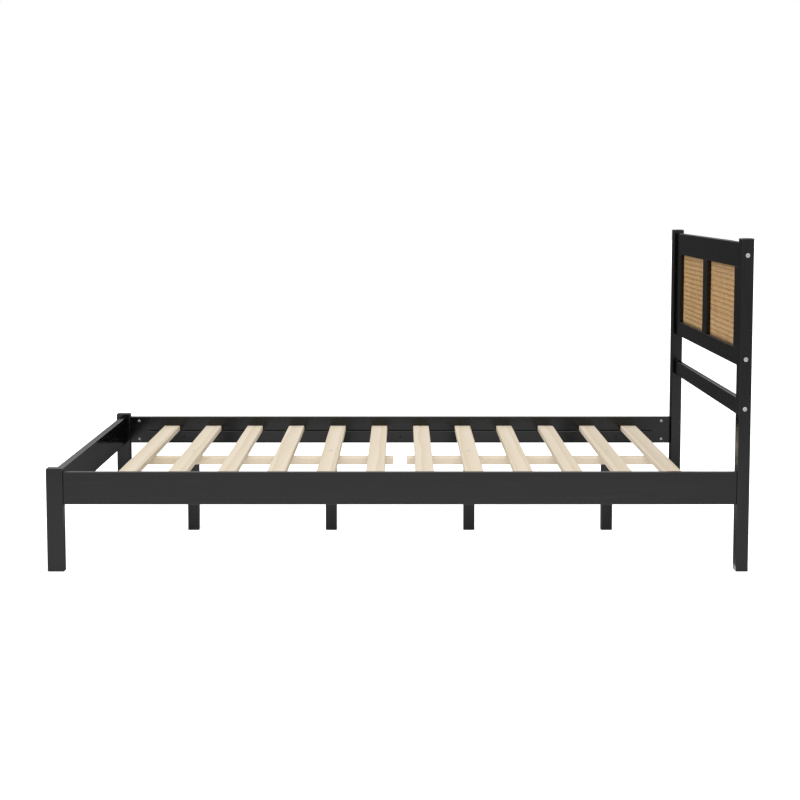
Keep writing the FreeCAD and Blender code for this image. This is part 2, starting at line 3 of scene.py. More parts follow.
import bmesh
import bpy
from bpy.props import (
    FloatProperty, FloatVectorProperty, IntProperty, PointerProperty, StringProperty,
)
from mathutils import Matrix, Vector


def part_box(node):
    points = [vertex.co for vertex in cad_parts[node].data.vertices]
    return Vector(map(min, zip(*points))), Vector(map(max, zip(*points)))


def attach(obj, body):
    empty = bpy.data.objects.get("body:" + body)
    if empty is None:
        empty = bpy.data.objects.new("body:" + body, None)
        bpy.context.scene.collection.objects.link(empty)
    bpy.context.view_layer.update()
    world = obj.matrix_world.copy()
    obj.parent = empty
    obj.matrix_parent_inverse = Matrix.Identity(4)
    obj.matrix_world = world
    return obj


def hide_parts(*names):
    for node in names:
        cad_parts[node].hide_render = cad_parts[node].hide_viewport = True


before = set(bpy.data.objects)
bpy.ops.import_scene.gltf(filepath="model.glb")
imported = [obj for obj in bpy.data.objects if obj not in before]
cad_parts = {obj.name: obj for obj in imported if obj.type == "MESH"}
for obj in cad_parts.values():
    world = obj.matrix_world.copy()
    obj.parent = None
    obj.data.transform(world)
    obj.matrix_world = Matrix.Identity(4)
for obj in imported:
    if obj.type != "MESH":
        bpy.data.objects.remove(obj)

bl_info = {
    "name": "Platform bed with a cane headboard",
    "version": (1, 0, 0),
    "blender": (4, 5, 0),
    "location": "3D View > Sidebar > Platform Bed",
    "description": "Paints, weaves and fastens a slatted platform bed around its solid frame",
    "category": "Add Mesh",
}

MM = 0.001
BODY = "root"

# Pieces of the bed by the way that their grain runs
PAINTED = {
    "x": ["foot_rail", "headboard_top_rail", "headboard_panel_rail", "headboard_cross_rail",
          "cane_beads_left", "cane_beads_right"],
    "y": ["side_rail_left", "side_rail_right", "slat_ledger_left", "slat_ledger_right"],
    "z": ["foot_leg_left", "foot_leg_right", "head_post_left", "head_post_right",
          "centre_leg_1", "centre_leg_2", "centre_leg_3", "centre_leg_4",
          "headboard_stile_left", "headboard_stile_right", "headboard_mullion"],
}
SLATS = [f"slat_{number:02d}" for number in range(1, 13)]
BEAMS = ["centre_beam_foot", "centre_beam_head"]
SIDES = {"left": -1, "right": 1}


# Small tools

def linear(hex_colour):
    """Turns an sRGB hex colour into linear red, green, blue and alpha."""
    shares = [int(hex_colour[start:start + 2], 16) / 255 for start in (1, 3, 5)]
    curve = [share / 12.92 if share <= 0.04045 else ((share + 0.055) / 1.055) ** 2.4 for share in shares]
    return (*curve, 1.0)


def fill(tree, node, inputs):
    """Fills a node's inputs, given in order or by their keys.

    Each takes a value, another node's output, or another node for its first output.
    """
    pairs = inputs.items() if isinstance(inputs, dict) else enumerate(inputs)
    for key, value in pairs:
        source = value.outputs[0] if isinstance(value, bpy.types.Node) else value
        if isinstance(source, bpy.types.NodeSocket):
            tree.links.new(source, node.inputs[key])
        else:
            node.inputs[key].default_value = source


def set_stops(colour_ramp, stops):
    """Sets a colour ramp to stops of a place and an sRGB hex colour."""
    while len(colour_ramp.elements) < len(stops):
        colour_ramp.elements.new(0.5)
    for element, (place, colour) in zip(colour_ramp.elements, stops):
        element.position = place
        element.color = linear(colour)


def add(tree, kind, inputs=(), stops=(), **settings):
    """Adds a node with its settings, its inputs and, on a colour ramp, its stops."""
    made = tree.nodes.new(kind)
    for name, value in settings.items():
        setattr(made, name, value)
    if stops:
        set_stops(made.color_ramp, stops)
    fill(tree, made, inputs)
    return made


def new_material(name):
    """Gives an empty material, its tree and its surface shader."""
    material = bpy.data.materials.new(name)
    material.use_nodes = True
    tree = material.node_tree
    tree.nodes.clear()
    shader = add(tree, "ShaderNodeBsdfPrincipled")
    add(tree, "ShaderNodeOutputMaterial", (shader,))
    return material, tree, shader


def give(node_name, material):
    """Puts a material on a solid piece of the frame."""
    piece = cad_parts[node_name]
    piece.data.materials.clear()
    piece.data.materials.append(material)


def centre(node_name):
    """Gives the middle of a solid piece's box."""
    low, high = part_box(node_name)
    return (low + high) / 2


# Materials
# A Mix node's inputs are its factor, 0, and two numbers, 2 and 3, or two colours, 6 and 7.
# With colours, its result is output 2.

# Rays that feel their way round an arris or into a corner
CORNER_SAMPLES = 4

# Where the length of each piece's grain goes on the pattern's own first axis
GRAIN_TURN = {
    "x": (0.0, 0.0, 0.0),
    "y": (0.0, 0.0, math.radians(-90)),
    "z": (0.0, math.radians(90), 0.0),
}


def along_grain(tree, grain):
    """Gives the piece's own place with its first axis along the grain, in metres."""
    place = add(tree, "ShaderNodeTexCoord").outputs["Object"]
    return add(tree, "ShaderNodeMapping", {"Vector": place, "Rotation": GRAIN_TURN[grain]})


def marks(tree, place, detail, long_mm, cross_mm=None, **inputs):
    """Gives noise whose marks have a real length along the grain, and a real width if it differs."""
    cross = 1 / ((cross_mm or long_mm) * MM)
    drawn = add(tree, "ShaderNodeMapping", {
        "Vector": place, "Scale": (1 / (long_mm * MM), cross, cross)})
    return add(tree, "ShaderNodeTexNoise", {"Vector": drawn, "Scale": 1.0, "Detail": detail, **inputs})


# How far the paint's roughness strays from its setting, smoother and rougher
SMOOTHER = 0.03
ROUGHER = 0.05
# The least that an arris is worn, and how much smoother wear makes the paint
LEAST_WEAR = 0.35
WEAR_POLISH = 0.05
# The least that a face points upwards where dust stays on it, as a sine
LEDGE_SLOPE = 0.9
# Depth of the pores under paint, as a share of the depth of the rings
PORE_SHARE = 0.35


def satin_black_paint(settings, grain):
    """Satin black paint, sprayed on planed pine.

    The pine's grain telegraphs through as fine long ridges. The sheen is broken up by the spray,
    the paint is thinner and a little greyer along the arrises, and dust dulls it in corners.
    """
    material, tree, shader = new_material(f"satin_black_paint_grain_{grain}")
    place = along_grain(tree, grain)
    normal = add(tree, "ShaderNodeNewGeometry").outputs["Normal"]
    # Early and late wood, 2 to 4 mm wide, stand a few hundredths of a millimetre apart under paint
    rings = marks(tree, place, detail=3.0, long_mm=180, cross_mm=3.2, Distortion=0.6)
    pores = marks(tree, place, detail=2.0, long_mm=14, cross_mm=0.7)
    body = add(tree, "ShaderNodeValToRGB", (rings,), stops=[
        (0.25, settings.dark), (0.5, settings.colour), (0.8, settings.light)])
    # The coat is smoother in some places than in others
    cloud = marks(tree, place, detail=3.0, long_mm=143)
    sheen = add(tree, "ShaderNodeMapRange", {
        "Value": cloud, "To Min": settings.roughness - SMOOTHER, "To Max": settings.roughness + ROUGHER})
    # Handling thins and smooths the coat along the arrises, where the rounded normal leaves the face's
    eased = add(tree, "ShaderNodeBevel", {"Radius": settings.edge_wear}, samples=CORNER_SAMPLES)
    bend = add(tree, "ShaderNodeVectorMath", (eased, normal), operation="DOT_PRODUCT").outputs["Value"]
    arris = add(tree, "ShaderNodeMapRange", {"Value": bend, "From Min": 0.995, "From Max": 0.86})
    handled = add(tree, "ShaderNodeMath", (cloud, LEAST_WEAR), operation="ADD")
    worn = add(tree, "ShaderNodeMath", (arris, handled), operation="MULTIPLY")
    colour = add(tree, "ShaderNodeMix", {0: worn, 6: body, 7: linear(settings.edge_colour)},
                 data_type="RGBA").outputs[2]
    rubbed = add(tree, "ShaderNodeMath", (worn, -WEAR_POLISH, sheen), operation="MULTIPLY_ADD")
    # Fine dust gathers on a ledge against an upright piece, as under the cane, and dulls it there
    upward = add(tree, "ShaderNodeSeparateXYZ", (normal,)).outputs["Z"]
    ledge = add(tree, "ShaderNodeMath", (upward, LEDGE_SLOPE), operation="GREATER_THAN")
    open_sky = add(tree, "ShaderNodeAmbientOcclusion", {"Distance": settings.dust_reach},
                   samples=CORNER_SAMPLES).outputs["AO"]
    corner = add(tree, "ShaderNodeMapRange", {
        "Value": open_sky, "From Min": 0.92, "From Max": 0.6, "To Max": settings.dust})
    rough = add(tree, "ShaderNodeMath", (corner, ledge, rubbed), operation="MULTIPLY_ADD")
    relief = add(tree, "ShaderNodeMath", (pores, PORE_SHARE, rings), operation="MULTIPLY_ADD")
    ridges = add(tree, "ShaderNodeBump", {
        "Strength": 0.22, "Distance": 0.12 * MM, "Height": relief, "Normal": eased})
    # Specks of spray are some 0.3 mm across, and are drawn coarser so that they show from close by
    mist = marks(tree, place, detail=1.0, long_mm=1.11)
    spray = add(tree, "ShaderNodeBump", {
        "Strength": 0.06, "Distance": 0.04 * MM, "Height": mist, "Normal": ridges})
    fill(tree, shader, {"Base Color": colour, "Roughness": rough, "Normal": spray, "IOR": 1.46,
                        "Specular IOR Level": settings.gloss})
    return material


# Steps in metres from one board's place in the log to the next board's
LOG_STEP = (3.71, 0.83, 1.37)
# The rings run nearly straight along a board, and change less through it than across it
RING_STRETCH = (0.06, 1.0, 0.6)
# Length of one wave of the wave texture at a scale of 1
WAVE_LENGTH = math.tau / 20
# Room for each pin knot, along the grain and across it
KNOTS_APART = (222.22 * MM, 111.11 * MM, 111.11 * MM)


def planed_pine(settings, grain, board_pitch):
    """Bare planed pine.

    Pale early wood and warmer late wood in long bands, fine fibres, a few small pin knots, and
    the silky sheen of a planed and lightly sanded face.
    """
    material, tree, shader = new_material(f"planed_bare_pine_grain_{grain}")
    # Each board comes from another part of the log
    body = add(tree, "ShaderNodeTexCoord").outputs["Object"]
    along_bed = add(tree, "ShaderNodeSeparateXYZ", (body,)).outputs["Y"]
    boards = add(tree, "ShaderNodeMath", (along_bed, board_pitch), operation="DIVIDE")
    board = add(tree, "ShaderNodeMath", (boards,), operation="FLOOR")
    log = add(tree, "ShaderNodeVectorMath", {0: LOG_STEP, "Scale": board}, operation="SCALE")
    place = add(tree, "ShaderNodeVectorMath", (along_grain(tree, grain), log), operation="ADD")
    # The rings drift slowly sideways along a board, and here and there close in a long tongue
    drift = marks(tree, place, detail=1.0, long_mm=700, cross_mm=60)
    sideways = add(tree, "ShaderNodeMath", (drift, settings.wander), operation="MULTIPLY")
    shift = add(tree, "ShaderNodeCombineXYZ", {1: sideways})
    moved = add(tree, "ShaderNodeVectorMath", (place, shift), operation="ADD")
    drawn = add(tree, "ShaderNodeMapping", {"Vector": moved, "Scale": RING_STRETCH})
    rings = add(tree, "ShaderNodeTexWave", {
        "Vector": drawn, "Scale": WAVE_LENGTH / settings.ring_width, "Distortion": 1.1, "Detail": 2.0,
        "Detail Scale": 1.1, "Detail Roughness": 0.5},
        bands_direction="Y", wave_profile="SAW").outputs["Fac"]
    fibre = marks(tree, place, detail=4.0, long_mm=60, cross_mm=0.9)
    silk = marks(tree, place, detail=2.0, long_mm=9, cross_mm=0.3)
    stain = marks(tree, place, detail=2.0, long_mm=600, cross_mm=160)
    grown = add(tree, "ShaderNodeMix", {0: 0.5, 2: rings, 3: fibre})
    wood = add(tree, "ShaderNodeValToRGB", (grown,), stops=[
        (0.1, settings.late_wood), (0.42, settings.middle_wood), (0.8, settings.early_wood)])
    warmth = add(tree, "ShaderNodeMath", (stain, 0.5), operation="MULTIPLY")
    aged = add(tree, "ShaderNodeMix", {0: warmth, 6: wood, 7: linear(settings.warm_wood)},
               data_type="RGBA").outputs[2]
    # Resin canals, short fine dashes along the grain
    canal = add(tree, "ShaderNodeMapRange", {
        "Value": silk, "From Min": 0.62, "From Max": 0.78, "To Max": 0.3})
    flecked = add(tree, "ShaderNodeMix", {0: canal, 6: aged, 7: linear(settings.knot)},
                  data_type="RGBA").outputs[2]
    # Pin knots, up to 10 mm across and twice as long along the grain
    cells = add(tree, "ShaderNodeMapping", {
        "Vector": place, "Scale": [1 / apart for apart in KNOTS_APART]})
    knots = add(tree, "ShaderNodeTexVoronoi", {"Vector": cells, "Scale": 1.0, "Randomness": 1.0})
    knot = add(tree, "ShaderNodeMapRange", {
        "Value": knots.outputs["Distance"], "From Min": 0.045, "From Max": 0.02, "To Max": 0.55})
    colour = add(tree, "ShaderNodeMix", {0: knot, 6: flecked, 7: linear(settings.knot)},
                 data_type="RGBA").outputs[2]
    rough = add(tree, "ShaderNodeMapRange", {"Value": fibre, "To Min": 0.66, "To Max": 0.5})
    relief = add(tree, "ShaderNodeMix", {0: 0.5, 2: rings, 3: silk})
    eased = add(tree, "ShaderNodeBevel", {"Radius": settings.easing}, samples=CORNER_SAMPLES)
    bump = add(tree, "ShaderNodeBump", {
        "Strength": 0.3, "Distance": 0.12 * MM, "Height": relief, "Normal": eased})
    fill(tree, shader, {"Base Color": colour, "Roughness": rough, "Normal": bump, "IOR": 1.5})
    return material


# How far apart two strands of unlike tone lie in the bark's pattern, in metres
STRAND_STEP = 37.0
# How far into the gaps between strands the painted shade reaches
GAP_SHADE_REACH = 3 * MM


def natural_cane(settings):
    """Split rattan bark, woven by machine.

    The bark side is glossy and tan, with darker leaf scars along a strand and a slightly
    different tone from strand to strand.
    """
    material, tree, shader = new_material("woven_rattan_cane")
    strand = add(tree, "ShaderNodeAttribute", attribute_name="strand").outputs["Fac"]
    along = add(tree, "ShaderNodeAttribute", attribute_name="along").outputs["Fac"]
    apart = add(tree, "ShaderNodeMath", (strand, STRAND_STEP), operation="MULTIPLY")
    place = add(tree, "ShaderNodeCombineXYZ", (along, apart))
    # Tone changes every 40 mm or so along a strand, and a leaf scar is some 9 mm long
    tone = marks(tree, place, detail=3.0, long_mm=40)
    scar = marks(tree, place, detail=0.0, long_mm=9.091)
    mixed = add(tree, "ShaderNodeMix", {0: 0.5, 2: tone, 3: strand})
    bark = add(tree, "ShaderNodeValToRGB", (mixed,), stops=[
        (0.2, settings.dark), (0.5, settings.colour), (0.8, settings.light)])
    scarred = add(tree, "ShaderNodeMapRange", {
        "Value": scar, "From Min": 0.68, "From Max": 0.78, "To Max": 0.7})
    marked = add(tree, "ShaderNodeMix", {0: scarred, 6: bark, 7: linear(settings.scar)},
                 data_type="RGBA").outputs[2]
    # Painted shade, in the scars' colour, where the strands cross and in the narrow gaps between them
    open_sky = add(tree, "ShaderNodeAmbientOcclusion", {"Distance": GAP_SHADE_REACH},
                   samples=CORNER_SAMPLES).outputs["AO"]
    gap_shade = add(tree, "ShaderNodeMapRange", {"Value": open_sky, "From Min": 0.8, "From Max": 0.3})
    gap_shaded = add(tree, "ShaderNodeMix", {0: gap_shade, 6: marked, 7: linear(settings.scar)},
                  data_type="RGBA").outputs[2]
    # The sides of a strand are painted darker than its faces: partly their own colour, as the knife leaves
    # them without bark, and partly painted shade in the gaps between strands
    normal = add(tree, "ShaderNodeNewGeometry").outputs["Normal"]
    out_of_panel = add(tree, "ShaderNodeSeparateXYZ", (normal,)).outputs["Y"]
    faced = add(tree, "ShaderNodeMath", (out_of_panel,), operation="ABSOLUTE")
    cut_and_shaded_side = add(tree, "ShaderNodeMapRange", {"Value": faced, "From Min": 0.7, "From Max": 0.3})
    colour = add(tree, "ShaderNodeMix", {0: cut_and_shaded_side, 6: gap_shaded, 7: linear(settings.cut_and_shaded_colour)},
                 data_type="RGBA").outputs[2]
    body = add(tree, "ShaderNodeTexCoord").outputs["Object"]
    streak = marks(tree, body, detail=1.0, long_mm=0.714)
    rough = add(tree, "ShaderNodeMapRange", {"Value": streak, "To Min": 0.5, "To Max": 0.66})
    bump = add(tree, "ShaderNodeBump", {"Strength": 0.2, "Distance": 0.05 * MM, "Height": streak})
    fill(tree, shader, {"Base Color": colour, "Roughness": rough, "Normal": bump,
                        "Specular IOR Level": 0.3})
    return material


def zinc_steel(settings):
    """Turned steel with bright zinc plating: pale grey, with faint turning marks and a soft bloom."""
    material, tree, shader = new_material("zinc_plated_turned_steel")
    place = add(tree, "ShaderNodeTexCoord").outputs["Object"]
    bloom = marks(tree, place, detail=3.0, long_mm=3.85)
    grit = marks(tree, place, detail=1.0, long_mm=0.385)
    colour = add(tree, "ShaderNodeValToRGB", (bloom,), stops=[
        (0.3, settings.dark), (0.7, settings.colour)])
    rough = add(tree, "ShaderNodeMapRange", {"Value": bloom, "To Min": 0.3, "To Max": 0.48})
    bump = add(tree, "ShaderNodeBump", {"Strength": 0.15, "Distance": 0.03 * MM, "Height": grit})
    fill(tree, shader, {"Base Color": colour, "Roughness": rough, "Normal": bump, "Metallic": 1.0})
    return material


def black_oxide_steel(settings):
    """Drawn steel with a black oxide skin, rubbed grey where the driver sits."""
    material, tree, shader = new_material("black_oxide_steel")
    place = add(tree, "ShaderNodeTexCoord").outputs["Object"]
    rub = marks(tree, place, detail=2.0, long_mm=1.43)
    colour = add(tree, "ShaderNodeValToRGB", (rub,), stops=[
        (0.45, settings.oxide), (0.8, settings.rubbed)])
    rough = add(tree, "ShaderNodeMapRange", {"Value": rub, "To Min": 0.55, "To Max": 0.38})
    fill(tree, shader, {"Base Color": colour, "Roughness": rough, "Metallic": 0.8})
    return material


# Turned and punched hardware

# Faces that meet at a sharper angle than this show an edge
EDGE_ANGLE = math.radians(35)
# A thread's core as a share of its crest, and a shank's tip as a share of its core
CORE_SHARE = 0.82
TIP_SHARE = 0.6
BOLT_SIDES = 36
BOLT_THREAD = 30 * MM
BOLT_THREAD_PITCH = 1 * MM
# The round rim of a socket as a share of its flats, and how deep its lead-in is
SOCKET_RIM_SHARE = 0.66
SOCKET_LEAD = 0.3 * MM
# Where the rounding of a head's edge has its middle point, as a share of the rounding
EDGE_SHARE = 0.3
NUT_EDGE = 0.4 * MM
NUT_SLOT_WIDTH = 1.4 * MM
NUT_SLOT_SHARE = 0.84
NUT_SLOT_DEPTH = 1.2 * MM
SCREW_SIDES = 24
# The threaded part of a screw as a share of its length, and its pitch as a share of its shank
SCREW_THREAD_SHARE = 0.6
SCREW_PITCH_SHARE = 0.35
# How much the rim of a countersunk head is eased
SCREW_RIM = 0.1 * MM
# The cross of a small screw, and how far its head stands above the wood
RECESS_WIDTH = 1.1 * MM
RECESS_SHARE = 0.6
SCREW_PROUD = 0.25 * MM


def round_ring(radius):
    """Outlines a circle."""
    return lambda angle: radius


def hexagon_ring(flats):
    """Outlines a hexagon by its width across the flats."""
    return lambda angle: flats / 2 / math.cos((angle % math.radians(60)) - math.radians(30))


def slot_ring(width, length):
    """Outlines a screwdriver slot."""
    return lambda angle: min(length / 2, width / 2 / max(abs(math.sin(angle)), 0.01))


def cross_ring(width, length):
    """Outlines the cross of a screwdriver recess."""
    slot = slot_ring(width, length)
    return lambda angle: max(slot(angle), slot(angle + math.radians(90)))


def turned(rings, sides):
    """Joins rings of (outline, height) from the first to the last into one closed skin."""
    shape = bmesh.new()
    angles = [math.tau * side / sides for side in range(sides)]
    loops = [[shape.verts.new((outline(a) * math.cos(a), outline(a) * math.sin(a), height))
              for a in angles] for outline, height in rings]
    for lower, upper in zip(loops, loops[1:]):
        for side in range(sides):
            following = (side + 1) % sides
            shape.faces.new((lower[side], lower[following], upper[following], upper[side]))
    for loop, height in ((loops[0], rings[0][1]), (loops[-1], rings[-1][1])):
        pole = shape.verts.new((0.0, 0.0, height))
        for side in range(sides):
            shape.faces.new((loop[side], loop[(side + 1) % sides], pole))
    bmesh.ops.recalc_face_normals(shape, faces=shape.faces)
    mesh = bpy.data.meshes.new("turned")
    shape.to_mesh(mesh)
    shape.free()
    mesh.set_sharp_from_angle(angle=EDGE_ANGLE)
    return bpy.data.objects.new("turned", mesh)


def threads(crest, tip, length, pitch):
    """Gives the rings of a pointed shank with thread ridges, upwards from its tip."""
    core = crest * CORE_SHARE
    rings = [(round_ring(core * TIP_SHARE), tip)]
    for turn in range(int(length / pitch)):
        low = tip + pitch * (turn + 0.5)
        rings += [(round_ring(core), low), (round_ring(crest), low + pitch / 2)]
    return rings + [(round_ring(core), low + pitch), (round_ring(crest), low + 1.5 * pitch)]


def flat_headed_bolt(settings, length):
    """Builds a bolt whose flat rounded head is flush with its own XY plane, with a hexagon socket."""
    head = settings.head / 2
    edge = settings.head_round
    shank = settings.shank / 2
    soffit = -settings.head_thickness
    rim = round_ring(settings.socket * SOCKET_RIM_SHARE)
    hexagon = hexagon_ring(settings.socket)
    rings = threads(shank, -length, BOLT_THREAD, BOLT_THREAD_PITCH)
    rings += [(round_ring(shank), soffit), (round_ring(head - edge / 2), soffit),
              (round_ring(head), soffit + edge / 2), (round_ring(head), -edge),
              (round_ring(head - EDGE_SHARE * edge), -EDGE_SHARE * edge), (round_ring(head - edge), 0.0),
              (rim, 0.0), (hexagon, -SOCKET_LEAD), (hexagon, -settings.socket_depth)]
    return turned(rings, BOLT_SIDES)


def barrel_nut(settings):
    """Builds a barrel nut with its slotted end in its own XY plane and its body below."""
    radius = settings.nut / 2
    slot = slot_ring(NUT_SLOT_WIDTH, settings.nut * NUT_SLOT_SHARE)
    return turned([(round_ring(radius - NUT_EDGE), -settings.nut_length),
                   (round_ring(radius), NUT_EDGE - settings.nut_length), (round_ring(radius), -NUT_EDGE),
                   (round_ring(radius - NUT_EDGE), 0.0), (slot, 0.0), (slot, -NUT_SLOT_DEPTH)], BOLT_SIDES)


def countersunk_screw(head, shank, length, recess, depth, top):
    """Builds a countersunk screw whose head stands a hair above its own XY plane, or flush with it."""
    cone = (head - shank) / 2
    rings = threads(shank / 2, -length, length * SCREW_THREAD_SHARE, shank * SCREW_PITCH_SHARE)
    rings += [(round_ring(shank / 2), -cone), (round_ring(head / 2 - SCREW_RIM), -SCREW_RIM),
              (round_ring(head / 2), 0.0), (round_ring(head / 2 - SCREW_RIM / 2), top),
              (recess, top), (recess, top - depth)]
    return turned(rings, SCREW_SIDES)


# Geometry trees

def new_tree(name, inputs):
    """Gives an empty geometry tree with named inputs, and those inputs' sockets."""
    tree = bpy.data.node_groups.new(name, "GeometryNodeTree")
    for label, kind in inputs.items():
        tree.interface.new_socket(label, in_out="INPUT", socket_type=f"NodeSocket{kind}")
    tree.interface.new_socket("Geometry", in_out="OUTPUT", socket_type="NodeSocketGeometry")
    return tree, add(tree, "NodeGroupInput").outputs


def end_tree(tree, geometry, material):
    """Ends a tree: what it places becomes real and gets its material."""
    solid = add(tree, "GeometryNodeRealizeInstances", (geometry,))
    finished = add(tree, "GeometryNodeSetMaterial", {"Geometry": solid, "Material": material})
    add(tree, "NodeGroupOutput", (finished,))


def run_tree(name, base, tree, inputs):
    """Runs a tree on a base object and keeps only the plain mesh that it makes."""
    bpy.context.scene.collection.objects.link(base)
    modifier = base.modifiers.new("Nodes", "NODES")
    modifier.node_group = tree
    for socket in tree.interface.items_tree:
        if socket.in_out == "INPUT" and socket.name in inputs:
            modifier[socket.identifier] = inputs[socket.name]
    graph = bpy.context.evaluated_depsgraph_get()
    mesh = bpy.data.meshes.new_from_object(base.evaluated_get(graph))
    base.modifiers.remove(modifier)
    bpy.data.objects.remove(base)
    mesh.name = name
    piece = bpy.data.objects.new(name, mesh)
    bpy.context.scene.collection.objects.link(piece)
    return piece


def fastener_tree():
    """Builds the tree that seats a fastener on each point, turned about its own axis at random."""
    tree, given = new_tree("Seat fasteners", {
        "Geometry": "Geometry", "Fastener": "Object", "Material": "Material", "Seed": "Int"})
    source = add(tree, "GeometryNodeObjectInfo", {"Object": given["Fastener"]}).outputs["Geometry"]
    axis = add(tree, "GeometryNodeInputNamedAttribute", {"Name": "axis"}, data_type="FLOAT_VECTOR")
    aim = add(tree, "FunctionNodeAlignRotationToVector", {"Vector": axis}, axis="Z")
    spin = add(tree, "FunctionNodeRandomValue", {2: 0.0, 3: math.tau, "Seed": given["Seed"]},
               data_type="FLOAT").outputs[1]
    twist = add(tree, "FunctionNodeAxisAngleToRotation", {"Axis": (0.0, 0.0, 1.0), "Angle": spin})
    turn = add(tree, "FunctionNodeRotateRotation", {"Rotation": aim, "Rotate By": twist},
               rotation_space="LOCAL")
    points = add(tree, "GeometryNodeMeshToPoints", {"Mesh": given["Geometry"]})
    placed = add(tree, "GeometryNodeInstanceOnPoints", {
        "Points": points, "Instance": source, "Rotation": turn})
    end_tree(tree, placed, given["Material"])
    return tree


def seat(name, fastener, seats, material, seed, stands_for=()):
    """Seats a fastener at each (place, axis) and lets the result ride on the frame."""
    mesh = bpy.data.meshes.new(name)
    mesh.from_pydata([place for place, axis in seats], [], [])
    axes = mesh.attributes.new("axis", "FLOAT_VECTOR", "POINT")
    axes.data.foreach_set("vector", [number for place, axis in seats for number in axis])
    bpy.context.scene.collection.objects.link(fastener)
    piece = run_tree(name, bpy.data.objects.new(name, mesh), fastener_tree(),
                     {"Fastener": fastener, "Material": material, "Seed": seed})
    bpy.data.objects.remove(fastener)
    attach(piece, BODY)
    if stands_for:
        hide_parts(*stands_for)


# How far apart the middles of a pair's two strands lie, as a share of a strand's width
PAIR_SHARE = 1.2
# How far strands end from half a mesh, so that each crossing falls between two bends
END_SHARE = 0.125


def webbing_tree():
    """Builds the tree that weaves one cane panel in its own plane.

    Level and upright strands run in pairs and cross over and under each other. One slanting
    family runs over the level pairs and under the upright ones, the other the opposite way.
    """
    tree, given = new_tree("Weave cane", {
        "Geometry": "Geometry", "Pitch": "Float", "Columns": "Int", "Rows": "Int",
        "Strand Width": "Float", "Slanting Width": "Float", "Thickness": "Float", "Wave": "Float",
        "Centre": "Vector", "Seed": "Int", "Material": "Material"})
    pitch, columns, rows = given["Pitch"], given["Columns"], given["Rows"]
    index = add(tree, "GeometryNodeInputIndex")
    quarter = add(tree, "ShaderNodeMath", (pitch, 0.25), operation="MULTIPLY")
    turn_rate = add(tree, "ShaderNodeMath", (math.tau, pitch), operation="DIVIDE")

    def family(count, start, angle, length, step, height, width):
        """Lays one family of strands: a start and a length for each, then a wave by place."""
        line = add(tree, "GeometryNodeMeshLine", {"Count": count})
        points = add(tree, "GeometryNodeMeshToPoints", {"Mesh": line})
        begin = add(tree, "ShaderNodeCombineXYZ", start)
        points = add(tree, "GeometryNodeSetPosition", {"Geometry": points, "Position": begin})
        straight = add(tree, "GeometryNodeCurvePrimitiveLine", {"End": (1.0, 0.0, 0.0)})
        size = add(tree, "ShaderNodeCombineXYZ", (length, 1.0, 1.0))
        laid = add(tree, "GeometryNodeInstanceOnPoints", {
            "Points": points, "Instance": straight, "Rotation": (0.0, 0.0, angle), "Scale": size})
        tone = add(tree, "FunctionNodeRandomValue", {"Seed": given["Seed"]}, data_type="FLOAT").outputs[1]
        laid = add(tree, "GeometryNodeStoreNamedAttribute",
                   {"Geometry": laid, "Name": "strand", "Value": tone},
                   data_type="FLOAT", domain="INSTANCE")
        strands = add(tree, "GeometryNodeRealizeInstances", (laid,))
        strands = add(tree, "GeometryNodeResampleCurve", {"Curve": strands, "Length": step}, mode="LENGTH")
        reach = add(tree, "GeometryNodeSplineParameter").outputs["Length"]
        strands = add(tree, "GeometryNodeStoreNamedAttribute",
                      {"Geometry": strands, "Name": "along", "Value": reach},
                      data_type="FLOAT", domain="POINT")
        place = add(tree, "ShaderNodeSeparateXYZ", (add(tree, "GeometryNodeInputPosition"),))
        x, y = [add(tree, "ShaderNodeMath", (place.outputs[axis], turn_rate), operation="MULTIPLY")
                for axis in (0, 1)]
        wave = add(tree, "ShaderNodeMath", (height(x, y), given["Wave"]), operation="MULTIPLY")
        lift = add(tree, "ShaderNodeCombineXYZ", {2: wave})
        strands = add(tree, "GeometryNodeSetPosition", {"Geometry": strands, "Offset": lift})
        strands = add(tree, "GeometryNodeSetCurveNormal", {"Curve": strands}, mode="Z_UP")
        section = add(tree, "GeometryNodeCurvePrimitiveQuadrilateral",
                      {"Width": width, "Height": given["Thickness"]})
        return add(tree, "GeometryNodeCurveToMesh",
                   {"Curve": strands, "Profile Curve": section, "Fill Caps": True})

    def halved(count, end_share):
        """Gives half of the panel's size across so many meshes, and its negative."""
        meshes = add(tree, "ShaderNodeMath", (count, 0.5, end_share), operation="MULTIPLY_ADD")
        half = add(tree, "ShaderNodeMath", (meshes, pitch), operation="MULTIPLY")
        return half, add(tree, "ShaderNodeMath", (half, -1.0), operation="MULTIPLY")

    def paired(count):
        """Gives the place of each strand across so many pairs, one pair to a mesh."""
        first = add(tree, "ShaderNodeMath", (count, -0.5, 0.5), operation="MULTIPLY_ADD")
        number = add(tree, "ShaderNodeMath", (index, 2.0), operation="DIVIDE")
        pair = add(tree, "ShaderNodeMath", (number,), operation="FLOOR")
        middle = add(tree, "ShaderNodeMath", (pair, first), operation="ADD")
        odd = add(tree, "ShaderNodeMath", (index, 2.0), operation="MODULO")
        twin = add(tree, "ShaderNodeMath", (odd, 0.5), operation="SUBTRACT")
        apart = add(tree, "ShaderNodeMath", (given["Strand Width"], PAIR_SHARE), operation="MULTIPLY")
        aside = add(tree, "ShaderNodeMath", (twin, apart), operation="MULTIPLY")
        return add(tree, "ShaderNodeMath", (middle, pitch, aside), operation="MULTIPLY_ADD")

    def over_and_under(along, across, side):
        """Gives the height of a level or upright strand: over one crossing and under the next."""
        swell = add(tree, "ShaderNodeMath", (along,), operation="SINE")
        crossed = add(tree, "ShaderNodeMath", (across,), operation="SINE")
        sign = add(tree, "ShaderNodeMath", (crossed,), operation="SIGN")
        sided = add(tree, "ShaderNodeMath", (sign, side), operation="MULTIPLY")
        return add(tree, "ShaderNodeMath", (swell, sided), operation="MULTIPLY")

